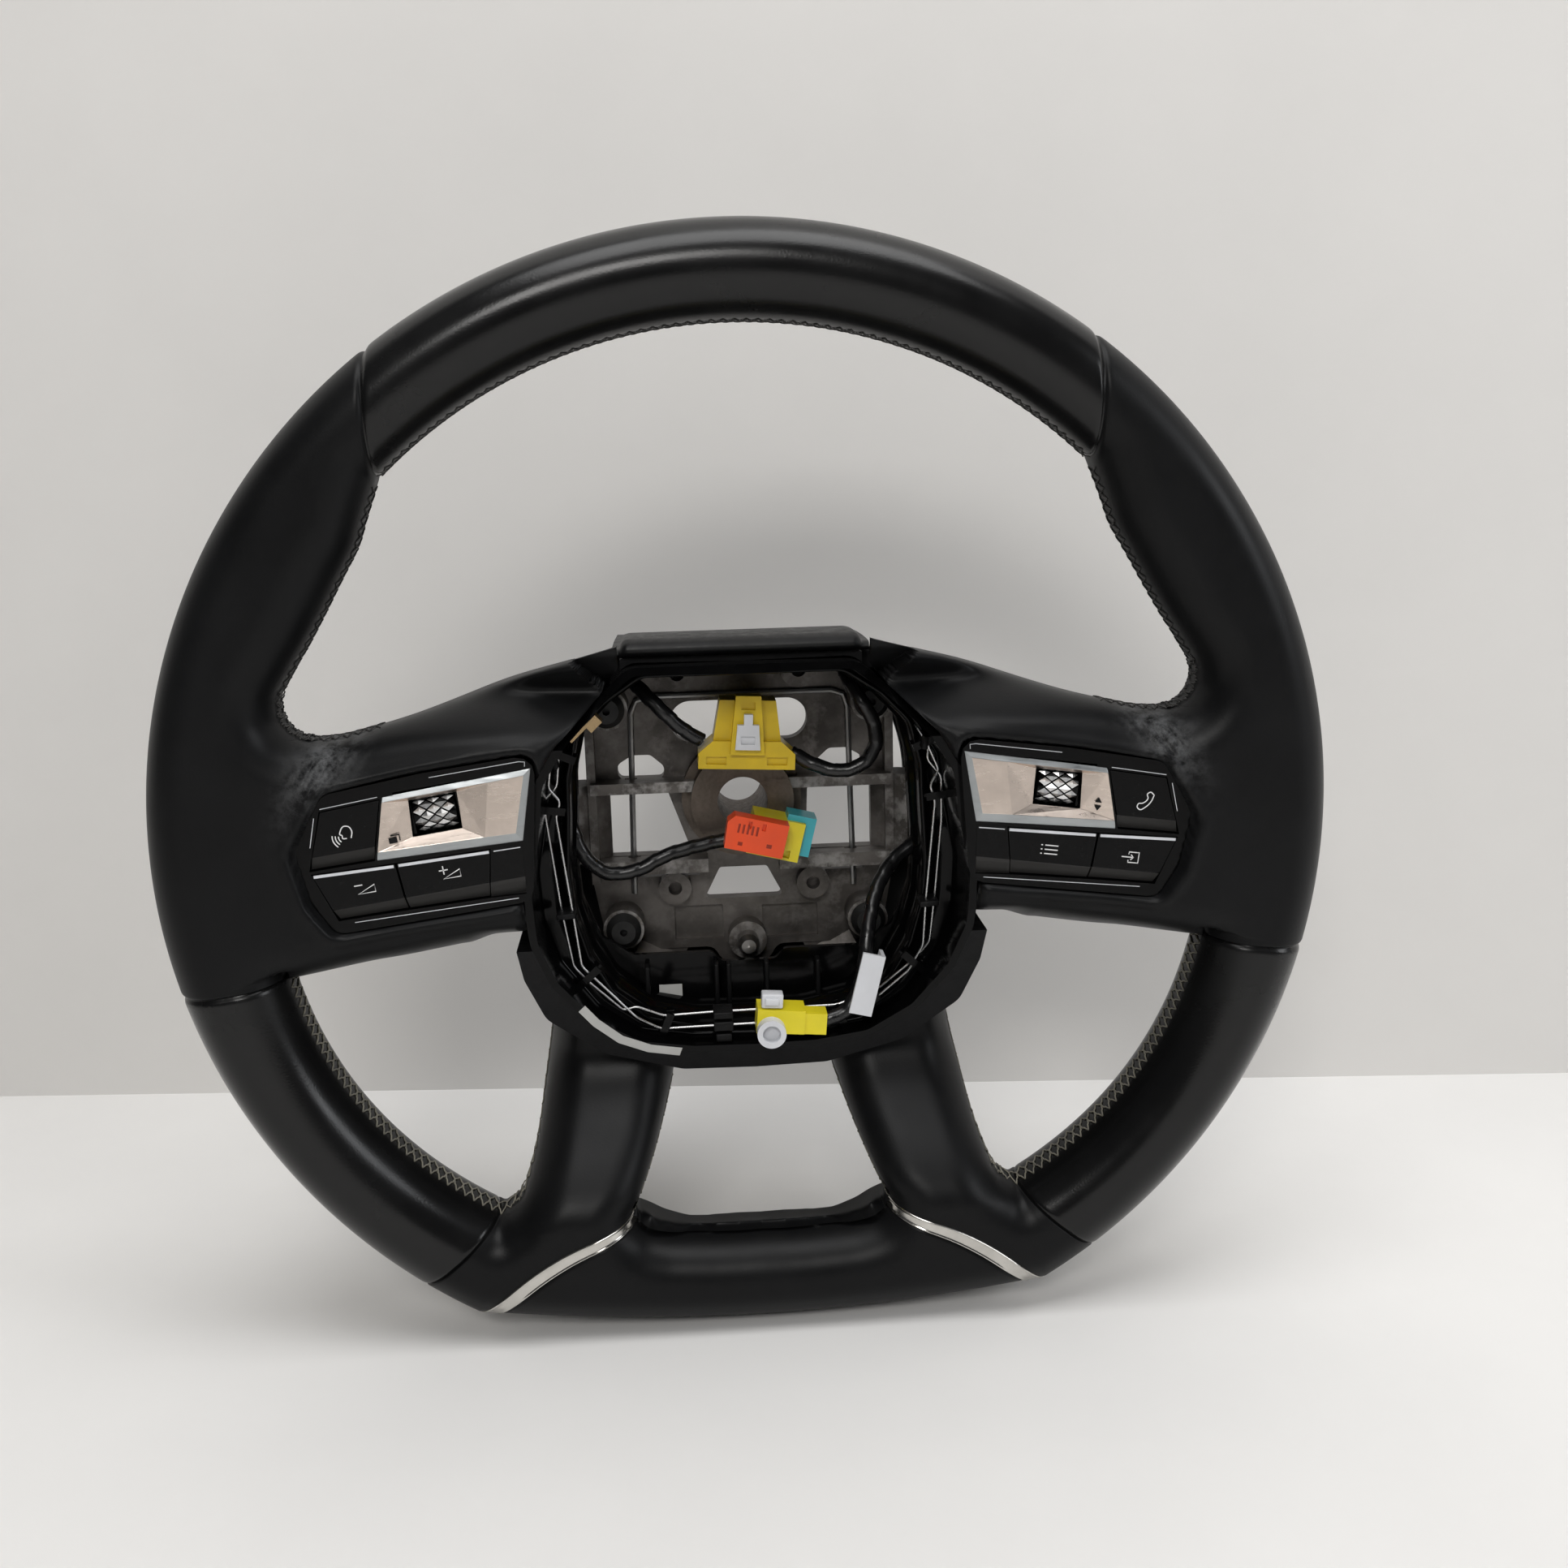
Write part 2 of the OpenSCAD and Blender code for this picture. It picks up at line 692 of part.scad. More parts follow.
// Small shelves on the inner wall, on which both contact wires rest
clip_spots = [2, 5, 8, 10];
module clip(k, y) {
    reach = norm(horn_half[k]);
    rotate([0, -atan2(horn_half[k][1], horn_half[k][0]), 0])
        box([reach - 4.6, y, -1.2], [reach + 12, y + 1.2, 1.2]);
}
module wire_clips() {
    intersection() {
        for (s = [0, 1], k = clip_spots, y = [horn_front_y, horn_rear_y])
            mirror([s, 0, 0]) clip(k, y + wire_round);
        slab(-60, 0) frame_outline();
    }
}
// The front of the hub leans back above the spokes and below them
lip_low = -33;
module top_clearance() {
    rotate([90, 0, 90]) translate([0, 0, -100]) linear_extrude(200)
        polygon([[-80, 30], [frame_front, 30], [-26, 56], [-26, 80], [-80, 80]]);
}
module low_clearance() {
    rotate([90, 0, 90]) translate([0, 0, -100]) linear_extrude(200)
        polygon([[-80, -24], [frame_front, -24], [lip_low, -80], [lip_low, -100], [-80, -100]]);
}

cover_half = [
    [0, 52.8], [36, 52.8], [47, 44], [59, 32], [66, 20], [70, 6], [74, -12], [71.8, -28],
    [70, -42], [64.5, -57], [47, -71.5], [23, -79], [0, -79.6]
];
cover_wall = 2.6;
cover_back = 33;
module cover_outline() {
    polygon(rounded(both_sides(cover_half), 8));
}
module cover_inside() {
    polygon(rounded(both_sides([for (p = cover_half) p - cover_wall * unit(p)]), 7));
}
module rear_cover() {
    color([0.05, 0.05, 0.05]) difference() {
        union() {
            slab(-58, -32) difference() {
                cover_outline();
                frame_outline();
                translate([-100, -26]) square([200, 100]);
            }
            slab(-32, cover_back) difference() {
                cover_outline();
                cover_inside();
            }
            slab(cover_back - 3, cover_back) difference() {
                cover_outline();
                circle(58);
            }
        }
        low_clearance();
        box([-200, -80, -31.5], [200, 12, 38]);
        box([-200, -80, 37], [-panel_side, 12, 70]);
        box([panel_side, -80, 37], [200, 12, 70]);
        box([-38, -80, 40], [38, -24, 70]);
        for (s = [0, 1]) mirror([s, 0, 0]) slab(-32, 20)
            polygon([[70, -45], [76, -90], [24.5, -90], [15, -45]]);
        skeleton();
    }
}

horn_half = [
    [46, 35.5], [52, 30], [56.2, 24], [55.5, 17.5], [58.5, 12], [60.5, 7], [61.5, -14], [59.8, -33],
    [51.6, -47.5], [40, -59.5], [28, -65]
];
horn_front_y = -33;
horn_rear_y = -28;
horn_step = 3;
function horn_route(y, step) = concat(
    [for (p = horn_half) [p[0] - step, y, p[1] + step / 2]],
    [for (i = [len(horn_half) - 1:-1:0]) [step - horn_half[i][0], y, horn_half[i][1] + step / 2]]
);
wire_round = 0.6;
module contact_wire(y, step) {
    tube(horn_route(y, step), wire_round, 8, [0, 1, 0]);
}
module horn_wire_front() {
    color("silver") contact_wire(horn_front_y, horn_step);
}
module horn_wire_rear() {
    color("silver") contact_wire(horn_rear_y, 0);
}
module horn_terminal() {
    color("silver") translate([-48.8, 0, 34.3]) rotate([0, -43.6, 0]) {
        box([-5.5, -42, -1], [2, -37, 0]);
        box([1, -43, -3], [5.5, -37, 0]);
    }
}

// Switch modules, in a frame tilted with the spoke: u outwards, v up

bezel = [[57, 38.2], [90, 38.5], [119, 37.2], [130.6, 22], [129, 6], [124, -4.3], [66, -4.8]];
plate_shape = [[59, 34.4], [102.3, 33.6], [107.8, 15.4], [65.4, 13.6]];
window_shape = [[81.2, 31.4], [95.5, 31.4], [96.7, 20.2], [82, 20.2]];
outer_key = [[103, 33.2], [120.8, 32.6], [127.4, 15.6], [108.4, 15.4]];
low_edge = [[67.5, -2.3], [78, -1.6], [102, -0.8], [122.5, -0.4]];
low_top = [[65.8, 12.8], [75, 13], [102.7, 13.8], [127.2, 14.8]];
bezel_front = -57.4;
pocket_floor = -44.3;
cell_floor = -49;
key_front = -57.6;
key_back = -51;
stem = 3;
stem_fit = 0.06;
stem_back = -47.5;

module tilted() {
    rotate([0, module_tilt, 0]) children();
}
module outline_grown(shape, grow) {
    offset(delta = grow) polygon(shape);
}
module module_pocket() {
    tilted() slab(-90, pocket_floor) polygon(rounded(bezel, 5));
}
function low_key(k) = [low_top[k], low_top[k + 1], low_edge[k + 1], low_edge[k]];
function shrunk(shape, gap) =
    let (c = centre(shape))
    [for (p = shape) p + [p[0] > c[0] ? -gap : gap, p[1] > c[1] ? -gap : gap]];
module switch_housing() {
    difference() {
        tilted() difference() {
            slab(bezel_front, pocket_floor) polygon(rounded(bezel, 5));
            slab(-60, -55) polygon(plate_shape);
            slab(-60, cell_floor) {
                polygon(outer_key);
                for (k = [0:2]) polygon(low_key(k));
            }
            slab(-60, pocket_floor + 1) translate([78.5, 17.4]) square([20.6, 17]);
            for (shape = [outer_key, low_key(1), low_key(2)])
                stem_place(shape) peg(0, 0, stem + 2 * stem_fit, cell_floor - 1, pocket_floor + 1);
        }
        skeleton();
    }
}
module switch_housing_left() {
    color([0.02, 0.02, 0.02]) mirror([1, 0, 0]) switch_housing();
}
module switch_housing_right() {
    color([0.02, 0.02, 0.02]) switch_housing();
}
module switch_plate() {
    tilted() difference() {
        slab(-57.8, -55) polygon(plate_shape);
        slab(-60, -54) polygon(window_shape);
        hull() {
            slab(-59, -58) polygon([[74, 34], [103, 34], [106, 17.6], [76, 17]]);
            slab(-56.4, -56) polygon(window_shape);
        }
    }
}
module switch_plate_left() {
    color("silver") mirror([1, 0, 0]) switch_plate();
}
module switch_plate_right() {
    color("silver") switch_plate();
}

roller_at = [88.8, roller_radius - 56.8, 25.8];
axle_radius = 1.2;
axle_reach = 1.2;
carrier_room = roller_length / 2 + 0.3;
carrier_rise = roller_radius + 0.7;
carrier_back = pocket_floor - key_travel - 0.1;
module roller() {
    tilted() translate(roller_at) rotate([0, 90, 0]) {
        cylinder(r = roller_radius, h = roller_length, center = true);
        cylinder(r = axle_radius, h = roller_length + 2 * axle_reach, center = true);
    }
}
module roller_left() {
    color("silver") mirror([1, 0, 0]) roller();
}
module roller_right() {
    color("silver") roller();
}
module roller_carrier() {
    tilted() difference() {
        box([79, -54, 18], [98.6, carrier_back, 33.8]);
        box(
            [roller_at[0] - carrier_room, -60, roller_at[2] - carrier_rise],
            [roller_at[0] + carrier_room, 0, roller_at[2] + carrier_rise]
        );
        translate(roller_at) rotate([0, 90, 0]) cylinder(r = axle_radius + 0.05, h = 40, center = true);
    }
}
module roller_carrier_left() {
    color([0.03, 0.03, 0.03]) mirror([1, 0, 0]) roller_carrier();
}
module roller_carrier_right() {
    color([0.03, 0.03, 0.03]) roller_carrier();
}

// A key with its foot bevelled away from the driver
module key_body(shape, gap, low, back) {
    intersection() {
        slab(key_front, back) polygon(shrunk(shape, gap));
        rotate([90, 0, 90]) linear_extrude(200) polygon([
            [back, -20], [back, 50], [key_front + 0.4, 50], [key_front, low + 4], [key_front + 2, low],
            [key_front + 2, -20]
        ]);
    }
}
function centre(shape) = (shape[0] + shape[1] + shape[2] + shape[3]) / 4;
module stem_place(shape) {
    c = centre(shape);
    translate([c[0], 0, c[1]]) children();
}
module key(shape, low) {
    tilted() {
        key_body(shape, key_gap, low, key_back);
        stem_place(shape) peg(0, 0, stem, key_back - 0.5, stem_back - key_travel);
    }
}
module blank(shape, low) {
    tilted() key_body(shape, 0, low, cell_floor);
}
module key_voice() {
    color([0.01, 0.01, 0.01]) mirror([1, 0, 0]) key(outer_key, 15.8);
}
module key_phone() {
    color([0.01, 0.01, 0.01]) key(outer_key, 15.8);
}
module key_volume_down() {
    color([0.01, 0.01, 0.01]) mirror([1, 0, 0]) key(low_key(2), -0.6);
}
module key_volume_up() {
    color([0.01, 0.01, 0.01]) mirror([1, 0, 0]) key(low_key(1), -1.2);
}
module blank_left() {
    color([0.01, 0.01, 0.01]) mirror([1, 0, 0]) blank(low_key(0), -2);
}
module key_source() {
    color([0.01, 0.01, 0.01]) key(low_key(2), -0.6);
}
module key_list() {
    color([0.01, 0.01, 0.01]) key(low_key(1), -1.2);
}
module blank_right() {
    color([0.01, 0.01, 0.01]) blank(low_key(0), -2);
}

// Plugs and leads in the airbag opening

module main_plug_place() {
    translate([1.6, -9, 23.5]) rotate([0, 3, 0]) children();
}
module header_place() {
    translate([10.5, -8, -9.5]) rotate([0, 14, 0]) children();
}
module small_plug_place() {
    translate([11.5, horn_front_y - wire_round - 5, -61.5]) rotate([0, 5, 0]) children();
}
module main_plug() {
    color([0.8, 0.62, 0.02]) main_plug_place() difference() {
        union() {
            slab(-4, 9) polygon([[-15.5, -10], [15.5, -10], [15.5, -5], [11, -1], [-11, -1], [-15.5, -5]]);
            slab(-2, 8) polygon([[-11, -2], [11, -2], [9, 12], [-9, 12]]);
            slab(-6, -1) polygon([[-5.5, -5], [5.5, -5], [4, 14], [-4, 14]]);
        }
        for (x = [-13, 6.5]) box([x, -5, -8.6], [x + 6.5, -3, -6]);
        box([-2.2, -7, 9.6], [2.2, -5, 12]);
    }
}
module main_plug_lock() {
    color("white") main_plug_place() difference() {
        slab(-8, -6) polygon([
            [-4, -3], [4, -3], [3.4, 5], [1.4, 5], [1.4, 8.4], [-1.4, 8.4], [-1.4, 5], [-3.4, 5]
        ]);
        box([-2.2, -9, -1.2], [2.2, -7.2, 1.4]);
    }
}
module header_body() {
    color([0.86, 0.76, 0.05]) header_place() difference() {
        box([-9, -5, -7], [8, 8, 6]);
        box([-6, -6, -6.2], [5, -3.4, -3.6]);
    }
}
module header_plug() {
    color([0.95, 0.22, 0.03]) header_place() difference() {
        slab(-12, -5) polygon([[-17, -5], [2, -5], [2, 6], [-15.6, 6], [-17.6, 3.6]]);
        for (x = [-11, -6.4]) box([x, -13, 2.8], [x + 1.2, -11, 5]);
    }
}
module header_cover() {
    color([0.2, 0.7, 0.75]) header_place() {
        box([8, -3, -5], [11.4, 7, 6]);
        box([2, -3, 6], [11.4, 7, 8]);
    }
}
module small_plug() {
    color([0.86, 0.8, 0.05]) small_plug_place() {
        box([-11, -5, -3.6], [4, 5, 4]);
        box([3, -3.6, -4], [11, 3.6, 2.8]);
    }
}
module small_plug_ring() {
    color("white") small_plug_place() translate([-6.5, -5, -2.5]) rotate([90, 0, 0]) difference() {
        cylinder(d = 9, h = 4);
        translate([0, 0, 1.2]) cylinder(d = 5.6, h = 4);
    }
}
module plug_clip() {
    color("white") translate([35.5, -36, -51]) rotate([0, 14, 0]) {
        box([-3.6, -5.4, -10], [3.6, -4.2, 10]);
        box([2.4, -5.4, -10], [3.6, 2, 10]);
    }
}

lead_round = 2.5;
main_left_route = [
    [-36, 12, 41], [-35.6, 5, 41.4], [-33.6, -3, 41], [-30, -9, 38], [-25, -11, 33], [-19.6, -10, 27.4],
    [-13, -8, 22.6]
];
main_right_route = [
    [15.6, -8, 17.6], [24, -9, 13], [32, -10, 11.2], [39, -10, 13.4], [43, -10, 19.6], [42.4, -9.4, 27],
    [38.6, -8.4, 34], [35.6, -4, 39.4], [34.6, 4, 42.4], [34.6, 12, 43]
];
left_route = [
    [-57, -7, 5], [-56.6, -11.6, 3], [-55, -14, -4], [-51.4, -14.4, -13], [-45, -14, -18.4],
    [-36, -13, -18.4], [-26, -11, -14.4], [-14, -8.4, -12], [-5, -7, -10.8], [2.4, -7, -10.4]
];
low_route = [
    [21.6, -38.6, -62.8], [28, -38, -61], [33, -36.6, -54.6], [35.6, -34, -45.6], [37.6, -29.6, -35],
    [41.4, -22.6, -25], [48, -15.6, -17.6], [54, -12, -14], [57, -7, -13]
];
module lead(route) {
    color([0.03, 0.03, 0.03]) tube(route, lead_round, 8, [1, 0.2, 0.3]);
}
module lead_top_left() {
    lead(main_left_route);
}
module lead_top_right() {
    lead(main_right_route);
}
module lead_left() {
    lead(left_route);
}
module lead_low() {
    lead(low_route);
}

module sticker() {
    color("white") box([-30, ledge_front - 0.2, -65], [-22.4, ledge_front, -59.8]);
}
label_line = [[-54.5, -54.5], [-50.4, -60.2], [-43, -67.2], [-34, -71.4], [-24, -73.4]];
module label_strip() {
    color("white") intersection() {
        slab(-60, -20) polygon(concat(
            label_line, [for (i = [len(label_line) - 1:-1:0]) label_line[i] + 3 * unit(-label_line[i])]
        ));
        rotate([90, 0, 90]) translate([0, 0, -100]) linear_extrude(200)
            polygon([[frame_front, -24], [lip_low, -80], [lip_low - 0.3, -80], [frame_front - 0.3, -24]]);
    }
}

armature();
armature_ring();
hub_insert();
retaining_wire();
locating_pin();
airbag_bushes();
grip_top();
grip_left();
grip_right();
grip_lower_left();
grip_lower_right();
spoke_cover_left();
spoke_cover_right();
grip_bottom();
trim_left();
trim_right();
airbag_frame();
rear_cover();
horn_wire_front();
horn_wire_rear();
horn_terminal();
switch_housing_left();
switch_housing_right();
switch_plate_left();
switch_plate_right();
roller_carrier_left();
roller_carrier_right();
roller_left();
roller_right();
key_voice();
key_volume_down();
key_volume_up();
blank_left();
key_phone();
key_list();
key_source();
blank_right();
main_plug();
main_plug_lock();
header_plug();
header_body();
header_cover();
small_plug();
small_plug_ring();
plug_clip();
lead_top_left();
lead_top_right();
lead_left();
lead_low();
sticker();
label_strip();
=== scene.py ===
import math

import bmesh
import bpy
import numpy as np
from mathutils import Matrix, Vector


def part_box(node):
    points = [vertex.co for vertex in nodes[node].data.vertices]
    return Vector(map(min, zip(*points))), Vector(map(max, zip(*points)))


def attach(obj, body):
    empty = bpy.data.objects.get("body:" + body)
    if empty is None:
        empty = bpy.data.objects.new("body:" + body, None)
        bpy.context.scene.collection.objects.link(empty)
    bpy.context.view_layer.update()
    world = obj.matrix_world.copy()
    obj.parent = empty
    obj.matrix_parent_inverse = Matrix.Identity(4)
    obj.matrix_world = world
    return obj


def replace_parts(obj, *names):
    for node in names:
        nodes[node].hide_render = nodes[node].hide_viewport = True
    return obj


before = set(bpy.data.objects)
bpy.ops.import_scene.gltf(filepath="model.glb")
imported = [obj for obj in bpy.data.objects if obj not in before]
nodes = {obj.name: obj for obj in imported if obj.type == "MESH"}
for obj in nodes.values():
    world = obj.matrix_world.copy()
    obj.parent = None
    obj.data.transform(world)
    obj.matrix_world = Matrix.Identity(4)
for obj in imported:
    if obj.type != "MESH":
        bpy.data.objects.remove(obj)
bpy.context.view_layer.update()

# All shapes are worked out in millimetres in the part's frame, and made in metres.
MM = 0.001
LINK = bpy.context.scene.collection.objects.link


# Camera, at the photograph's angle: turns in degrees and place in mm, fitted to pairs of points

def rotation(degrees, axis):
    return np.array(Matrix.Rotation(math.radians(degrees), 3, axis))


RIM_Y = -45  # depth of the rim's middle
view = rotation(-1.485, "Y") @ rotation(12.569, "X") @ rotation(3.947, "Z")
eye = -view.T @ np.array([-10.29, 473.24, -15.43]) + np.array([0, RIM_Y, 0])
camera = bpy.data.objects.new("camera", bpy.data.cameras.new("camera"))
LINK(camera)
camera.data.sensor_width = 36
camera.data.lens = 35.97
camera.data.clip_start = 0.02
camera.data.clip_end = 20
camera.matrix_world = Matrix([
    [view[0][i], view[2][i], -view[1][i], eye[i] * MM] for i in range(3)
] + [[0, 0, 0, 1]])
bpy.context.scene.camera = camera
bpy.context.scene.view_settings.view_transform = "Standard"


# Small mesh helpers

def make(name, verts, faces, material, smooth=True, body="wheel", slot=None):
    """A mesh piece from points in millimetres, riding on a body."""
    mesh = bpy.data.meshes.new(name)
    points = [tuple(v) for v in np.asarray(verts, float) * MM]
    mesh.from_pydata(points, [], [tuple(int(i) for i in f) for f in faces])
    mesh.update()
    obj = bpy.data.objects.new(name, mesh)
    LINK(obj)
    mesh.materials.append(material)
    for p in mesh.polygons:
        p.use_smooth = smooth
    if body:
        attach(obj, body)
    return obj


def sheet_faces(index, flip=False):
    """Quads over a grid of point numbers."""
    a, b = index[:-1, :-1], index[1:, :-1]
    c, d = index[1:, 1:], index[:-1, 1:]
    return np.stack([d, c, b, a] if flip else [a, b, c, d], -1).reshape(-1, 4)


def ring_index(rows, n):
    """Point numbers of closed rings of n points."""
    return np.arange(rows)[:, None] * n + np.arange(n + 1)[None, :] % n


def smooth_line(points, steps):
    """A smooth line through points of uneven spacing, with `steps` points to each stretch."""
    p = np.array(points, float)
    h = np.linalg.norm(np.diff(p, axis=0), axis=1)
    slope = np.diff(p, axis=0) / h[:, None]
    m = np.empty_like(p)
    m[0], m[-1] = slope[0], slope[-1]
    m[1:-1] = (slope[:-1] * h[1:, None] + slope[1:] * h[:-1, None]) / (h[1:] + h[:-1])[:, None]
    t = (np.arange(steps) / steps)[:, None]
    out = []
    for a, b, ma, mb, k in zip(p[:-1], p[1:], m[:-1], m[1:], h):
        out.append(
            (2 * t**3 - 3 * t**2 + 1) * a + (t**3 - 2 * t**2 + t) * (ma * k)
            + (-2 * t**3 + 3 * t**2) * b + (t**3 - t**2) * (mb * k)
        )
    return np.vstack(out + [p[-1:]])


def unit(v):
    """A vector, or each row of several, made one long."""
    return v / np.linalg.norm(v, axis=-1, keepdims=True)


def run_of(p):
    """Distance along a line at each of its points."""
    return np.concatenate([[0], np.cumsum(np.linalg.norm(np.diff(p, axis=0), axis=1))])


def read_off(p, s, at):
    """Points at the places `at` of a line whose own points are at the places s."""
    return np.stack([np.interp(at, s, p[:, k]) for k in range(p.shape[1])], 1)


def even(points, step):
    """The same line with its points an even distance apart."""
    p = np.asarray(points, float)
    s = run_of(p)
    n = max(2, int(round(s[-1] / step)) + 1)
    return read_off(p, s, np.linspace(0, s[-1], n))


def tube(points, radius, sides, ripple=None):
    """Points and faces of a tube along a line, with a frame carried along it."""
    p = np.asarray(points, float)
    t = unit(np.gradient(p, axis=0))
    u = unit(np.cross(t[0], [0.3, 0.2, 1.0]))
    rings = []
    angle = 2 * math.pi * np.arange(sides) / sides
    for i in range(len(p)):
        u = unit(u - t[i] * (u @ t[i]))
        v = np.cross(t[i], u)
        r = np.full(sides, radius, float)
        if ripple is not None:
            r = r + ripple(i, angle)
        rings.append(p[i] + r[:, None] * (np.cos(angle)[:, None] * u + np.sin(angle)[:, None] * v))
    verts = np.vstack(rings)
    n = len(p)
    faces = list(sheet_faces(ring_index(n, sides), True))
    faces.append(tuple(range(sides)))
    faces.append(tuple(range(n * sides - 1, (n - 1) * sides - 1, -1)))
    return verts, faces


def mirrored(verts, faces):
    return verts * [-1, 1, 1], [f[::-1] for f in faces]


def gather(parts):
    """Several sets of points and faces as one."""
    verts, faces, base = [], [], 0
    for v, f in parts:
        verts.append(np.asarray(v, float))
        faces += [tuple(int(i) + base for i in face) for face in f]
        base += len(v)
    return np.vstack(verts), faces


# Materials

class Surface:
    """A node material built up in steps; constants sit on the shader's own sockets."""

    def __init__(self, name, colour, rough=0.5, metal=0.0, **sockets):
        self.material = bpy.data.materials.new(name)
        self.material.use_nodes = True
        self.tree = self.material.node_tree
        self.shader = self.tree.nodes["Principled BSDF"]
        values = {"Base Color": (*colour, 1), "Roughness": rough, "Metallic": metal, **sockets}
        for key, value in values.items():
            self.shader.inputs[key.replace("_", " ")].default_value = value
        self.place = self.add("TexCoord").outputs["Object"]
        self.height = None

    def add(self, kind, values=None, **settings):
        """A node with its own settings and the values of its sockets."""
        node = self.tree.nodes.new("ShaderNode" + kind)
        for key, value in settings.items():
            setattr(node, key, value)
        for key, value in (values or {}).items():
            node.inputs[key].default_value = value
        return node

    def link(self, a, b):
        self.tree.links.new(a, b)

    def feed(self, value, socket):
        """Gives a socket a number, a colour or another node's output."""
        if isinstance(value, (int, float)):
            socket.default_value = value
        elif isinstance(value, tuple):
            socket.default_value = (*value, 1)
        else:
            self.link(value, socket)

    def stretched(self, scale):
        node = self.add("Mapping", {"Scale": scale})
        self.link(self.place, node.inputs["Vector"])
        return node.outputs["Vector"]

    def noise(self, size, detail=3.0, rough=0.5, where=None):
        """Noise whose features are about `size` millimetres across."""
        node = self.add("TexNoise", {"Scale": 1000 / size, "Detail": detail, "Roughness": rough})
        self.link(where or self.place, node.inputs["Vector"])
        return node.outputs["Fac"]

    def cells(self, size, feature="F1"):
        node = self.add("TexVoronoi", {"Scale": 1000 / size}, feature=feature)
        self.link(self.place, node.inputs["Vector"])
        return node.outputs["Distance"]

    def parted(self, vector):
        node = self.add("SeparateXYZ")
        self.link(vector, node.inputs[0])
        return node.outputs

    def scaled(self, value, low, high, to_low=0.0, to_high=1.0):
        limits = {"From Min": low, "From Max": high, "To Min": to_low, "To Max": to_high}
        node = self.add("MapRange", limits)
        self.link(value, node.inputs["Value"])
        return node.outputs["Result"]

    def joined(self, a, b, how="MULTIPLY"):
        node = self.add("Math", operation=how)
        self.feed(a, node.inputs[0])
        self.feed(b, node.inputs[1])
        return node.outputs[0]

    def mixed(self, share, a, b):
        """Colour a where share is 0, colour b where it is 1."""
        node = self.add("Mix", data_type="RGBA")
        self.link(share, node.inputs[0])
        self.feed(a, node.inputs[6])
        self.feed(b, node.inputs[7])
        return node.outputs[2]

    def coloured(self, value):
        self.link(value, self.shader.inputs["Base Color"])

    def roughened(self, value):
        self.link(value, self.shader.inputs["Roughness"])

    def bumped(self, value, strength, depth):
        """Adds a bump of `depth` millimetres."""
        node = self.add("Bump", {"Strength": strength, "Distance": depth * MM})
        self.link(value, node.inputs["Height"])
        if self.height:
            self.link(self.height, node.inputs["Normal"])
        self.height = node.outputs["Normal"]
        self.link(self.height, self.shader.inputs["Normal"])


def toned(s, broad, colour, variation):
    """Mixes a colour with a darker one in broad patches."""
    s.coloured(s.mixed(s.scaled(broad, 0.35, 0.7), tuple(c * (1 - variation) for c in colour), colour))


def leather(name, colour, worn, rough_low, rough_high, shine):
    s = Surface(name, colour, 0.45, Specular_IOR_Level=shine, Sheen_Weight=0.01, Sheen_Roughness=0.5)
    broad = s.noise(34, 4, 0.6)
    fine = s.noise(0.9, 3)
    wear = s.add("Attribute", attribute_name="wear").outputs["Fac"]
    patchy = s.joined(wear, s.scaled(s.noise(6, 6, 0.75), 0.4, 0.62))
    base = s.mixed(s.scaled(broad, 0.35, 0.7), colour, tuple(c * 1.5 for c in colour))
    s.coloured(s.mixed(patchy, base, worn))
    s.roughened(s.joined(s.scaled(broad, 0.3, 0.7, rough_low, rough_high), s.joined(patchy, 0.12), "ADD"))
    s.bumped(s.cells(1.1, "DISTANCE_TO_EDGE"), 0.16, 0.12)
    s.bumped(s.cells(0.55), 0.08, 0.08)
    s.bumped(fine, 0.06, 0.1)
    s.bumped(s.joined(s.noise(5, 4, 0.7), wear), 0.25, 0.6)
    return s.material


GLOSS_BLACK = (0.0022, 0.0022, 0.0024)
TILT = math.radians(8)  # the switch modules' lean


def key_face(name, side):
    """Gloss black with a matt grey foot, told apart by the height v in the module's frame."""
    s = Surface(name, GLOSS_BLACK, 0.08, Specular_IOR_Level=0.13)
    across, _, up = s.parted(s.add("NewGeometry").outputs["Position"])
    v = s.joined(s.joined(across, side * math.sin(TILT)), s.joined(up, math.cos(TILT)), "ADD")
    low_foot = s.scaled(v, 0.0031, 0.003)
    outer_foot = s.joined(s.scaled(v, 0.0152, 0.0153), s.scaled(v, 0.0197, 0.0196))
    foot = s.joined(low_foot, outer_foot, "ADD")
    dust = s.scaled(s.noise(1.1, 4, 0.7), 0.62, 0.8, 0, 0.03)
    s.coloured(s.mixed(foot, s.mixed(dust, GLOSS_BLACK, (0.3, 0.3, 0.3)), (0.03, 0.029, 0.028)))
    s.roughened(s.joined(s.scaled(s.noise(9, 4), 0.3, 0.7, 0.05, 0.1), s.joined(foot, 0.38), "ADD"))
    s.bumped(s.noise(9, 3), 0.04, 0.2)
    return s.material


def plastic(name, colour, rough, grain=0.0, grain_size=0.6, variation=0.25, **sockets):
    s = Surface(name, colour, rough, **sockets)
    toned(s, s.noise(14, 4, 0.6), colour, variation)
    s.roughened(s.scaled(s.noise(3.5, 5, 0.7), 0.3, 0.75, rough * 0.8, min(1, rough * 1.35)))
    if grain:
        s.bumped(s.cells(grain_size), grain, 0.1)
    s.bumped(s.noise(9, 3), 0.05, 0.3)
    return s.material


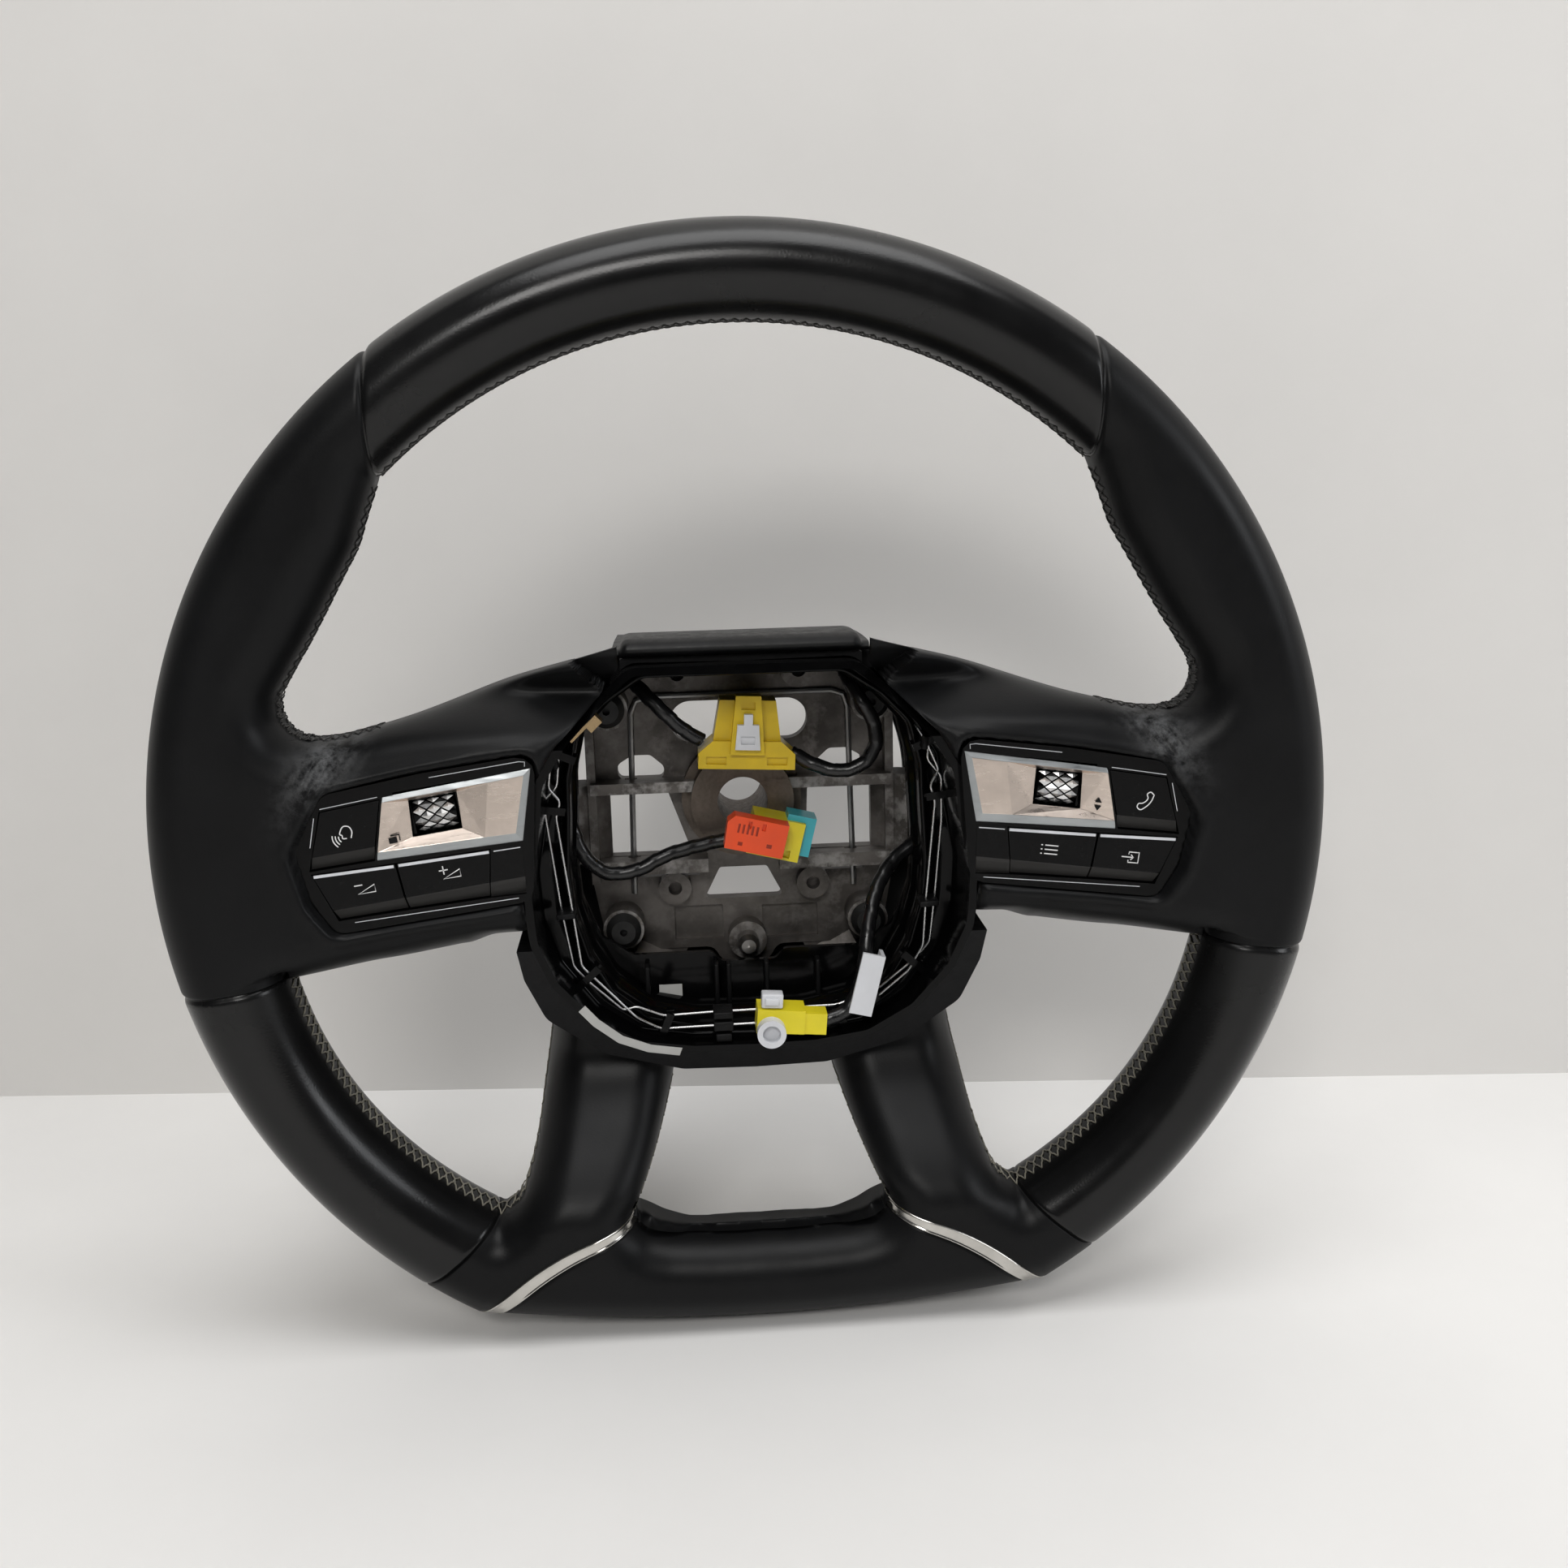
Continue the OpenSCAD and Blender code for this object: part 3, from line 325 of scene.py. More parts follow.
def metal(name, colour, rough, scratches=0.1, along=(1, 1, 1), variation=0.2):
    s = Surface(name, colour, rough, 1.0)
    toned(s, s.noise(12, 4, 0.6), colour, variation)
    streak = s.noise(1.4, 5, 0.7, s.stretched(along))
    s.roughened(s.scaled(streak, 0.3, 0.75, rough * 0.75, min(1, rough * 1.4)))
    s.bumped(streak, scratches, 0.04)
    return s.material


def cast_metal():
    """Dull die-cast alloy, lighter on the ribs' worn tops and dirty brown in broad patches."""
    s = Surface("cast_metal", (0.1, 0.088, 0.078), 0.55, 0.55)
    broad = s.noise(22, 5, 0.6)
    middle = s.noise(7, 5, 0.65)
    fine = s.noise(1.6, 5, 0.7)
    proud = s.scaled(s.parted(s.place)[1], 0.0075, 0.0035)
    scuffed = s.joined(proud, s.scaled(middle, 0.46, 0.62))
    base = s.mixed(s.scaled(broad, 0.35, 0.65), (0.05, 0.044, 0.04), (0.15, 0.138, 0.128))
    base = s.mixed(s.scaled(middle, 0.5, 0.78), base, (0.22, 0.205, 0.195))
    s.coloured(s.mixed(scuffed, base, (0.34, 0.33, 0.32)))
    s.roughened(s.scaled(middle, 0.3, 0.7, 0.38, 0.62))
    s.bumped(fine, 0.12, 0.12)
    s.bumped(middle, 0.18, 0.5)
    return s.material


M = {
    "grip": leather("grip_leather", (0.003, 0.003, 0.0031), (0.09, 0.092, 0.095), 0.2, 0.3, 0.32),
    "spoke": leather("spoke_leather", (0.0036, 0.0037, 0.004), (0.11, 0.112, 0.115), 0.34, 0.46, 0.15),
    "panel": plastic("panel_black", (0.0045, 0.0046, 0.005), 0.42, 0.15, 0.9, Specular_IOR_Level=0.3),
    "thread": plastic("stitch_thread", (0.24, 0.225, 0.18), 0.7, variation=0.45),
    "dark_thread": plastic("dark_thread", (0.05, 0.048, 0.045), 0.7, variation=0.4),
    "cast": cast_metal(),
    "wire": metal("spring_wire", (0.62, 0.62, 0.62), 0.28, 0.1),
    "pin": metal("pin_steel", (0.3, 0.29, 0.28), 0.4, 0.25),
    "rubber": plastic("bush_rubber", (0.006, 0.006, 0.006), 0.55, 0.1, 0.5),
    "gloss": plastic("gloss_black", GLOSS_BLACK, 0.12, variation=0.4, Specular_IOR_Level=0.13),
    "grain": plastic("grained_black", (0.0045, 0.0045, 0.005), 0.5, 0.3, 0.9, Specular_IOR_Level=0.2),
    "key_left": key_face("key_black_left", -1),
    "key_right": key_face("key_black_right", 1),
    "hub": metal("hub_steel", (0.15, 0.125, 0.105), 0.5, 0.3, variation=0.35),
    "strip": metal("plate_strip", (0.4, 0.42, 0.43), 0.42, 0.04, (0.15, 1, 1), 0.1),
    "dull_wire": metal("dull_wire", (0.3, 0.3, 0.3), 0.42, 0.05, variation=0.12),
    # This bright metal is painted highlight: thin strokes standing in for reflections on the modules' gloss
    # bevels
    "shine": metal("painted_highlight_line", (0.75, 0.77, 0.82), 0.16, 0.03),
    "print": plastic("white_print", (0.72, 0.72, 0.72), 0.5, variation=0.06),
    "chrome": metal("trim_chrome", (0.66, 0.64, 0.6), 0.2, 0.04, (0.2, 1, 1)),
    # A satin metal plate; its warm pink tint is painted reflection of a warm room
    "plate": metal("satin_plate", (0.72, 0.62, 0.55), 0.3, 0.05, (0.15, 1, 1)),
    "roller": metal("roller_metal", (0.8, 0.8, 0.8), 0.34, 0.05),
    "amber": plastic("amber_plastic", (0.72, 0.5, 0.006), 0.36, variation=0.18),
    "yellow": plastic("yellow_plastic", (0.78, 0.66, 0.015), 0.36, variation=0.12),
    "orange": plastic("orange_plastic", (0.86, 0.075, 0.008), 0.35, variation=0.12),
    # This dark orange is painted shade, for the hollows of the header plug's slots
    "painted_slot_shade": plastic("painted_slot_shade", (0.3, 0.022, 0.004), 0.6, variation=0.1),
    "cyan": plastic("cyan_plastic", (0.045, 0.42, 0.5), 0.35, variation=0.12),
    "white": plastic("white_plastic", (0.66, 0.67, 0.7), 0.38, variation=0.08),
    "paper": plastic("white_paper", (0.56, 0.56, 0.54), 0.75, variation=0.12),
    "tape": plastic("taped_lead", (0.005, 0.005, 0.0055), 0.3, 0.2, 0.7),
    "brass": metal("terminal_brass", (0.5, 0.36, 0.2), 0.3, 0.1),
}


# Leads: wrapped in tape, from behind the frame's wall to their plugs

def wrap(pitch, step):
    """The spiral steps of overlapping tape."""
    def ripple(i, angle):
        phase = (i * step / pitch + angle / (2 * math.pi)) % 1
        return -0.16 + 0.3 * phase
    return ripple


LEADS = {
    "top_left": (0.0467, ["main_plug"], [
        [-36, 12, 41], [-35.6, 5, 41.4], [-33.6, -3, 41], [-30, -9, 38], [-25, -11, 33], [-19.6, -10, 27.4],
        [-13, -8, 22.6],
    ]),
    "top_right": (0.0729, ["main_plug", "main_plug_lock"], [
        [34.6, 12, 43], [34.6, 4, 42.4], [35.6, -4, 39.4], [38.6, -8.4, 34], [42.4, -9.4, 27],
        [43, -10, 19.6], [39, -10, 13.4], [32, -10, 11.2], [24, -9, 13], [15.6, -8, 17.6],
    ]),
    "left": (0.0803, ["header_body", "header_plug", "header_cover"], [
        [-57, -7, 5], [-56.6, -11.6, 3], [-55, -14, -4], [-51.4, -14.4, -13], [-45, -14, -18.4],
        [-36, -13, -18.4], [-26, -11, -14.4], [-14, -8.4, -12], [-5, -7, -10.8], [2.4, -7, -10.4],
    ]),
    "low": (0.0753, ["small_plug", "small_plug_ring", "plug_clip"], [
        [57, -7, -13], [54, -12, -14], [48, -15.6, -17.6], [41.4, -22.6, -25], [37.6, -29.6, -35],
        [35.6, -34, -45.6], [33, -36.6, -54.6], [28, -38, -61], [21.6, -38.6, -62.8],
    ]),
}
for name, (length, pieces, route) in LEADS.items():
    line = even(smooth_line(route, 12), 0.8)
    obj = make(f"taped_lead_{name}", *tube(line, 2.35, 14, wrap(6.5, 0.8)), M["tape"], slot="taped_lead")
    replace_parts(obj, f"lead_{name}")


# The wheel's outlines and padded heights, as in the part's source

RIM, RISE, FLAT, INNER, LOW = 175.5, 1.5, 156.0, 148.0, 144.2
SEAM_OUT = math.degrees(math.acos(102 / RIM))
SEAM_IN = math.degrees(math.acos(102 / INNER))
LOW_SEAM, LOW_SEAM_IN, TOE_OUT, TOE_IN = -13.6, -14.9, -52.8, -55.6
EDGE_ROUND, EDGE_HALF = 13.5, 1.5
CORNER = np.array([90.5, -148.9])
THUMBS = [43, 39.5, 35, 30, 26, 22.5]
THUMB_DROPS = [3.6, 6.9, 8.3, 8.8, 8.2, 6.8]
CROTCH, CROTCH_ROUND = np.array([125.5, 44.2]), 10
CROTCH_ANGLES = [10, -20, -45, -70, -95]
SPOKE_TOP = [[105, 37.6], [85, 43], [62, 51.2], [30, 60.6]]
SPOKE_LOW = np.array([[138.6, -36.9], [112, -33.6], [88, -31.4], [55, -30.4]])
LOW_OUT = [[60, -45], [64, -62], [67.5, -83], [72.4, -107], [75.5, -113.5]]
LOW_IN = [[15, -52], [22.7, -75], [31, -98.6], [38, -114], [40.5, -119]]
BAR_TOP = -127.0
TRIM_BEND = np.array([67, -123])
TRIM_WIDTH = 5.0
PANEL_SIDE = 37.4


def polar(r, a):
    a = np.radians(a)
    return np.stack(np.broadcast_arrays(r * np.cos(a), r * np.sin(a)), -1)


def on_rim(r, a):
    return polar(r, a) + np.array([0, RISE])


def mix(a, b, t):
    return a + (b - a) * t


def smooth(t):
    k = np.clip(t, 0, 1)
    return k * k * (3 - 2 * k)


def bezier(a, b, c, t):
    t = np.asarray(t, float)[..., None]
    return mix(mix(np.array(a), np.array(b), t), mix(np.array(b), np.array(c), t), t)


def line_distance(q, line):
    """Distance of each point q to a line."""
    a, b = line[:-1], line[1:]
    d, p = b - a, q[:, None, :]
    t = np.clip(((p - a) * d).sum(-1) / (d * d).sum(-1), 0, 1)
    return np.sqrt((((a + t[..., None] * d) - p) ** 2).sum(-1).min(1))


opening_top = [on_rim(INNER, SEAM_IN)]
opening_top += [polar(INNER + 0.6 - d, a) for a, d in zip(THUMBS, THUMB_DROPS)]
opening_crotch = [CROTCH + polar(CROTCH_ROUND, a) for a in CROTCH_ANGLES]
STEPS = 8
OPENING = smooth_line(opening_top + opening_crotch + [np.array(p, float) for p in SPOKE_TOP], STEPS)
TOE = on_rim(LOW, TOE_IN)
LOW_SIDE = smooth_line(LOW_OUT + [TOE], 6)
LOW_MIDDLE = smooth_line(LOW_IN + [[37, -123.6], [30, -126.2], [22, BAR_TOP], [-22, BAR_TOP]], 6)


def low_reach(a):
    return LOW + 2 * np.sin(np.radians(180 * np.clip((a - LOW_SEAM_IN) / (TOE_IN - LOW_SEAM_IN), 0, 1)))


def bottom_edge(x):
    return -FLAT + (FLAT + CORNER[1]) * (np.abs(x) / CORNER[0]) ** 2


def edge_distance(p):
    x, z = np.abs(p[:, 0]), p[:, 1]
    q = np.stack([x, z], 1)
    r, a = np.hypot(x, z - RISE), np.degrees(np.arctan2(z - RISE, x))
    far = np.full(len(q), 1000.0)
    return np.min([
        RIM - r,
        z - bottom_edge(x),
        np.where(a > SEAM_IN, r - INNER, far),
        np.where(z > 0, line_distance(q, OPENING), line_distance(q, SPOKE_LOW)),
        np.where((a < LOW_SEAM) & (a > TOE_IN), np.abs(r - low_reach(a)), far),
        np.where(z < -30, line_distance(q, LOW_SIDE), far),
        np.where(z < -40, line_distance(q, LOW_MIDDLE), far),
        np.where((z > 38) & (z < 90) & (x < 60), np.maximum(x - PANEL_SIDE, 0) * EDGE_ROUND / 1.2, far),
    ], 0)


def side_share(x, z):
    return smooth((142 - x) / 34) * (1 - smooth((z - 42) / 16)) * smooth((z + 58) / 18)


def low_share(x, z):
    return smooth((z + 119) / 46) * smooth((86 - x) / 10) * smooth((-22 - z) / 20)


def heights(p, side):
    """Depth of the padded surface at points of the wheel's plane: side -1 in front, 1 behind."""
    x, z = np.abs(p[:, 0]), p[:, 1]
    s, low = side_share(x, z), low_share(x, z)
    hub = smooth((112 - x) / 44)
    middle = mix(mix(RIM_Y, mix(-40, -26, hub), s), -5, low)
    if side < 0:
        top = smooth((z - 31) / 20) * smooth((104 - x) / 50)
        crest = mix(mix(-62.5, -58 + 26 * top, s), -28, low)
    else:
        crest = mix(mix(-27.5, mix(-20, 10, hub), s), 19, low)
    e = 1 - np.clip(edge_distance(p) / EDGE_ROUND, 0, 1)
    return mix(middle + side * EDGE_HALF, crest, np.sqrt(1 - e * e))


# The switch module's outline in its tilted frame, and the frame round the airbag opening

BEZEL = np.array([[57, 38.2], [90, 38.5], [119, 37.2], [130.6, 22], [129, 6], [124, -4.3], [66, -4.8]])
FRAME_HALF = np.array([
    [0, 50.2], [35, 50.2], [45, 42], [56, 31.5], [63, 20], [65, 4], [68, -14], [67, -30], [62, -45],
    [51, -60], [37, -69.5], [20, -72.5], [0, -73],
])


def tilted(x, z):
    """Module coordinates u outwards and v up of points of the right half."""
    return x * math.cos(TILT) - z * math.sin(TILT), x * math.sin(TILT) + z * math.cos(TILT)


def rounded(points, radius, steps=6):
    """A closed outline with its corners rounded."""
    p = np.array(points, float)
    out = []
    for i in range(len(p)):
        a, b, c = p[i - 1], p[i], p[(i + 1) % len(p)]
        u, v = unit(a - b), unit(c - b)
        if u @ v < -0.9995:
            out.append(b)
            continue
        half = math.acos(u @ v) / 2
        reach = min(radius / math.tan(half), 0.48 * min(np.linalg.norm(a - b), np.linalg.norm(c - b)))
        out += list(bezier(b + u * reach, b, b + v * reach, np.arange(steps + 1) / steps))
    return np.array(out)


def inside_distance(q, outline):
    """Distance to a closed outline, positive inside it."""
    ring = np.vstack([outline, outline[:1]])
    d = line_distance(q, ring)
    inside = np.zeros(len(q), bool)
    for a, b in zip(ring[:-1], ring[1:]):
        cross = (a[1] > q[:, 1]) != (b[1] > q[:, 1])
        with np.errstate(divide="ignore", invalid="ignore"):
            at = a[0] + (q[:, 1] - a[1]) * (b[0] - a[0]) / (b[1] - a[1])
        inside ^= cross & (q[:, 0] < at)
    return np.where(inside, d, -d)


def whole(half):
    """A closed outline from its right half, which starts and ends on the middle line."""
    return np.vstack([half, (half * [-1, 1])[-2:0:-1]])


BEZEL_RING = rounded(BEZEL, 5)
FRAME_RING = rounded(whole(FRAME_HALF), 8)


# Leather pieces

def spread(n):
    return (1 - np.cos(np.pi * np.arange(n + 1) / n)) / 2


def seam_groove(rows):
    """How far each row lies in the groove of the seam at either end, from 0 to 1."""
    s = run_of(rows.mean(1))
    return np.maximum(np.exp(-((s / 1.1) ** 2)), np.exp(-(((s[-1] - s) / 1.1) ** 2)))


def finer_ends(count, extra):
    """Shares along a grip, with more rows close to its seams."""
    t = np.linspace(0, 1, count)
    near = np.array([0.25, 0.55, 0.9, 1.4, 2.0, 2.8]) * extra
    return np.unique(np.concatenate([t, near, 1 - near]))


def below_crotch(p):
    """Places along and across the fold under the crotch, towards the module's upper outer corner."""
    u, v = np.abs(p[:, 0]) - 121, p[:, 1] - 31
    return u * 0.55 - v * 0.83, u * 0.83 + v * 0.55


def wrinkles(p):
    """A fan of small folds in the front leather, in millimetres towards the driver."""
    mirror = np.where(p[:, 0] < 0, 1.0, 0.8)
    along, across = below_crotch(p)
    hump = np.exp(-((along / 13) ** 2) - ((across / 6) ** 2))
    return mirror * hump * (0.55 * np.sin(across * 1.9 + 0.08 * along) + 0.25 * np.sin(across * 4.3 + 1.3))


def wear_of(p):
    """Share of wear, from 0 to 1, on the fold by the module."""
    along, across = below_crotch(p)
    return 0.9 * np.exp(-((along / 15) ** 2) - ((across / 6) ** 2))


def leather_mesh(name, patches, material, mirror=False, cut=None):
    """Joins sheets of rows of points, front and back, into one padded piece."""
    parts = []
    flats = []
    for rows, groove, edge_lines in patches:
        n, m = rows.shape[:2]
        flat = rows.reshape(-1, 2)
        centre = np.repeat(rows.mean(1), m, 0)
        pull = 0.05 * np.repeat(groove, m)
        place = mix(flat, centre, pull[:, None])
        sunk = np.repeat((heights(rows.mean(1), -1) + heights(rows.mean(1), 1)) / 2, m)
        for side in (-1, 1):
            y = heights(flat, side) - (wrinkles(flat) if side < 0 else 0)
            y = mix(y, sunk, pull)
            verts = np.stack([place[:, 0], y, place[:, 1]], 1)
            index = np.arange(n * m).reshape(n, m)
            parts.append((verts, sheet_faces(index, side > 0)))
            flats.append(flat)
        ahead, behind = parts[-2][0], parts[-1][0]
        for line in edge_lines:
            strip = np.vstack([ahead[line], behind[line]])
            index = np.arange(2 * len(line)).reshape(2, -1)
            parts.append((strip, sheet_faces(index)))
            flats.append(np.vstack([flat[line], flat[line]]))
    verts, faces = gather(parts)
    flat = np.vstack(flats)
    if cut:
        verts, faces = cut(verts, flat, faces)
    if mirror:
        verts, faces = mirrored(verts, faces)
    obj = make(name, verts, faces, material)
    wear = obj.data.attributes.new("wear", "FLOAT", "POINT")
    wear.data.foreach_set("value", wear_of(verts[:, [0, 2]]).astype(np.float32))
    work = bmesh.new()
    work.from_mesh(obj.data)
    bmesh.ops.remove_doubles(work, verts=work.verts, dist=0.00002)
    bmesh.ops.recalc_face_normals(work, faces=work.faces)
    work.to_mesh(obj.data)
    work.free()
    return obj


def column(rows, j, start=0, end=None):
    """Numbers of the points of a sheet's column between two rows."""
    n, m = rows.shape[:2]
    return np.arange(start, n if end is None else end) * m + j


def between(outer, inner):
    """Rows of points from an outer to an inner line, closer together at both."""
    s = spread(ACROSS)[None, :, None]
    return outer[:, None] * (1 - s) + inner[:, None] * s


def rim_rows(out_a, out_b, in_a, in_b, r_in, t):
    outer = on_rim(RIM, mix(out_a, out_b, t))
    inner = on_rim(r_in(mix(in_a, in_b, t)) if callable(r_in) else r_in, mix(in_a, in_b, t))
    return between(outer, inner)


def both_edges(rows):
    return [column(rows, 0), column(rows, rows.shape[1] - 1)]


def leather_pair(name, node, patches, material, cut=None):
    for side, mirror in SIDES:
        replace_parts(leather_mesh(f"{name}_{side}", patches, material, mirror, cut), f"{node}_{side}")


ACROSS = 40  # faces across a piece
SIDES = (("left", True), ("right", False))
rows = rim_rows(SEAM_OUT, 180 - SEAM_OUT, SEAM_IN, 180 - SEAM_IN, INNER, finer_ends(120, 1 / 195))
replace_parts(leather_mesh("leather_top", [(rows, seam_groove(rows), both_edges(rows))], M["grip"]), "grip_top")
rows = rim_rows(LOW_SEAM, TOE_OUT, LOW_SEAM_IN, TOE_IN, low_reach, finer_ends(90, 1 / 112))
leather_pair("leather_lower", "grip_lower", [(rows, seam_groove(rows), both_edges(rows))], M["grip"])


def side_patches():
    gate_low = np.array([129, -35.7])
    gate_high = CROTCH + polar(CROTCH_ROUND, CROTCH_ANGLES[-1])
    first = STEPS * len(opening_top)  # the crotch's first point on the opening's line
    n, gate = 14, 110  # rows below the spoke's root, and along it
    t, g = np.arange(n) / n, spread(gate)
    a = mix(gate_low, gate_high, g[:, None])
    up = OPENING[:first + 4 * STEPS + 1][::-1]
    keys = [13, 15, 17, 19, 21] + [mix(24, SEAM_OUT, k / 6) for k in range(7)]
    outer = on_rim(RIM, np.concatenate([
        mix(LOW_SEAM, -12.5, t), mix(-12.5, 13, np.arange(gate + 1) / gate),
        np.interp(np.arange(1, len(up)) / STEPS, range(len(keys)), keys),
    ]))
    inner = np.vstack([mix(on_rim(LOW, LOW_SEAM_IN), gate_low, t[:, None]), a, up[1:]])
    # more rows where the opening's line is coarse, and close to the last seam
    t = np.arange(len(outer))
    last = len(outer) - 1 - np.array([0.08, 0.18, 0.3, 0.45, 0.65])
    fine = np.unique(np.concatenate([t, t[n + gate:-1] + 0.5, last]))
    rim = between(read_off(outer, t, fine), read_off(inner, t, fine))
    ends = smooth_line([[62, -30.6], [60, 4], [57, 24], [50, 38], [31, 57]], 8)
    b = read_off(ends, np.linspace(0, 1, len(ends)), g)
    x = mix(a[:, None, 0], b[:, None, 0], np.linspace(0, 1, 101)[None, :])
    low = np.interp(x, SPOKE_LOW[::-1, 0], SPOKE_LOW[::-1, 1])
    arc = OPENING[first + 4 * STEPS:][::-1]
    high = np.interp(x, arc[:, 0], arc[:, 1])
    z = mix(low, high, g[:, None])
    z[:, 0] = a[:, 1]
    return rim, np.stack([x, z], -1), np.searchsorted(fine, [n, n + gate])


def back_to_frame(verts, flat, hub):
    """Moves the points just inside the frame's outline back out to it."""
    scale = 1 + np.where(hub > 0, hub / np.maximum(np.hypot(flat[:, 0], flat[:, 1]), 1), 0)
    verts[:, 0] *= scale
    verts[:, 2] *= scale


def cut_side(verts, flat, faces):
    """Opens the leather for the switch module and the airbag frame, and rolls its edges in."""
    x, z = flat[:, 0], flat[:, 1]
    u, v = tilted(x, z)
    pocket = inside_distance(np.stack([u, v], 1), BEZEL_RING)
    hub = inside_distance(flat, FRAME_RING)
    top = np.minimum(PANEL_SIDE - x, z - 40)
    verts = verts.copy()
    front_side = verts[:, 1] < -36
    # rolled edge round the module
    roll = np.exp(-(((pocket + 2.2) / 1.5) ** 2)) * 0.9 - 5 * smooth((pocket + 0.9) / 1.3)
    verts[:, 1] -= np.where(front_side, roll, 0)
    near = np.clip((hub + 3.4) / 3.4, 0, 1)
    fall = mix(3.4, 0.3, smooth((z - 26) / 16)) * smooth((-25 - verts[:, 1]) / 9)
    verts[:, 1] += fall * (1 - np.sqrt(1 - near**2))
    gone = (hub > 0.6) | (top > 0.6) | ((pocket > 2.2) & front_side)
    kept = [f for f in faces if not all(gone[i] for i in f)]
    back_to_frame(verts, flat, hub)
    side = (top > 0) & (PANEL_SIDE - x < z - 40)
    verts[:, 0] = np.where(side, PANEL_SIDE, verts[:, 0])
    return verts, kept


rim, spoke, span = side_patches()
rim_edges = [column(rim, 0), column(rim, ACROSS, 0, span[0] + 1), column(rim, ACROSS, span[1])]
spoke_edges = [np.arange(spoke.shape[1]), np.arange(spoke.shape[1]) + (len(spoke) - 1) * spoke.shape[1]]
leather_pair("leather_side", "grip", [
    (rim, seam_groove(rim), rim_edges), (spoke, np.zeros(len(spoke)), spoke_edges),
], M["spoke"], cut_side)


def trim_edge(t):
    return bezier(LOW_IN[4], TRIM_BEND, CORNER, t)


def trim_foot(t):
    a = np.array(LOW_IN[4]) + np.array([-0.3, -0.5]) * TRIM_WIDTH
    c = np.array([CORNER[0] - TRIM_WIDTH, bottom_edge(84)])
    return bezier(a, TRIM_BEND + np.array([-0.6, -0.9]) * TRIM_WIDTH, c, t)


def cover_rows():
    inner_end = mix(np.array(LOW_IN[3], float), np.array(LOW_IN[4], float), 0.4)
    pairs_out = smooth_line(LOW_OUT + [TOE], 14)
    pairs_in = smooth_line(LOW_IN[:4] + [inner_end, LOW_IN[4]], 14)
    t = np.linspace(0, 1, 46)[1:]
    out = np.vstack([pairs_out, mix(TOE, on_rim(RIM, TOE_OUT), t[:, None])])
    return between(out, np.vstack([pairs_in, trim_edge(t)]))


def cut_cover(verts, flat, faces):
    """Opens the leather for the airbag frame."""
    hub = inside_distance(flat, FRAME_RING)
    gone = hub > 0.6
    verts = verts.copy()
    back_to_frame(verts, flat, hub)
    return verts, [f for f in faces if not all(gone[i] for i in f)]


rows = cover_rows()
patch = (rows, np.zeros(len(rows)), both_edges(rows))
leather_pair("leather_cover", "spoke_cover", [patch], M["spoke"], cut_cover)


def bar_rows():
    u = np.linspace(1, -1, 181)[:, None]
    s = spread(36)[None, :]
    w = np.abs(u) ** 5
    t = 1 - mix(s, np.linspace(0, 1, 37)[None, :], w)
    end = trim_edge(t)
    level = mix(BAR_TOP, bottom_edge(end[..., 0] * u), t)
    return np.stack([end[..., 0] * u, mix(level, end[..., 1], w)], -1)


def cut_bar(verts, flat, faces):
    """Lowers the bar's ends under the trims."""
    verts = verts.copy()
    t = np.linspace(0, 1, 60)
    ring = np.vstack([trim_edge(t), trim_foot(t)[::-1]])
    d = inside_distance(np.abs(flat) * [1, -1], ring)
    verts[:, 1] += np.where(verts[:, 1] < -30, 1.4 * smooth((d + 0.6) / 1.2), 0)
    return verts, faces


rows = bar_rows()
bar = leather_mesh("leather_bar", [(rows, np.zeros(len(rows)), both_edges(rows))], M["spoke"], False, cut_bar)
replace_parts(bar, "grip_bottom")


# Bright trims along the bottom grip

t = np.linspace(0, 1, 60)
across = np.array([-0.02, 0.0, 0.05, 0.12, 0.16, 0.3, 0.5, 0.7, 0.84, 0.88, 0.95, 1.0, 1.02])
rise = np.array([-1.2, 0.1, 0.62, 0.7, 0.42, 0.44, 0.46, 0.44, 0.42, 0.7, 0.62, 0.1, -1.2])
flat = mix(trim_edge(t)[:, None], trim_foot(t)[:, None], across[None, :, None])
y = heights(flat.reshape(-1, 2), -1).reshape(flat.shape[:2]) - rise[None, :]
verts = np.stack([flat[..., 0], y, flat[..., 1]], -1).reshape(-1, 3)
index = np.arange(len(verts)).reshape(flat.shape[:2])
for side, mirror in SIDES:
    points = verts * [-1, 1, 1] if mirror else verts
    obj = make(f"trim_strip_{side}", points, sheet_faces(index, mirror), M["chrome"], slot="satin_chrome")
    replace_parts(obj, f"trim_{side}")


# Stitching, crossed threads over the inner edges

def over_edge(point, inward, reach, lift):
    """A point on the leather's round edge, `reach` round from the edge's middle: below 0 in front."""
    side = -1 if reach < 0 else 1
    s = max(0.0, abs(reach) - EDGE_HALF)
    back = EDGE_ROUND * (1 - math.sqrt(1 - (s / 18) ** 2))
    q = point + inward * back
    y = heights(np.array([q]), side)[0] - side * EDGE_HALF + side * min(abs(reach), EDGE_HALF)
    flat = q - inward * lift * (1 - back / EDGE_ROUND)
    return np.array([flat[0], y + side * lift * min(1.0, s / 3), flat[1]])


def stitched(line, inward_sign, mirror, pitch=3.3, reach=4.2, radius=0.22):
    """Crossed stitches over an edge, from holes in front to holes behind."""
    pts = even(line, pitch)
    tangent = unit(np.gradient(pts, axis=0))
    normal = np.stack([-tangent[:, 1], tangent[:, 0]], 1) * inward_sign
    parts = []
    for i in range(len(pts) - 1):
        for a, b in ((-reach, reach), (reach, -reach)):
            thread = []
            for k in range(9):
                t = k / 8
                n = unit(mix(normal[i], normal[i + 1], t))
                lift = 0.1 + 0.26 * math.sin(math.pi * t) * (1 if a < b else 0.6)
                thread.append(over_edge(mix(pts[i], pts[i + 1], t), n, mix(a, b, t), lift))
            piece = tube(thread, radius, 5)
            parts.append(mirrored(*piece) if mirror else piece)
    return parts


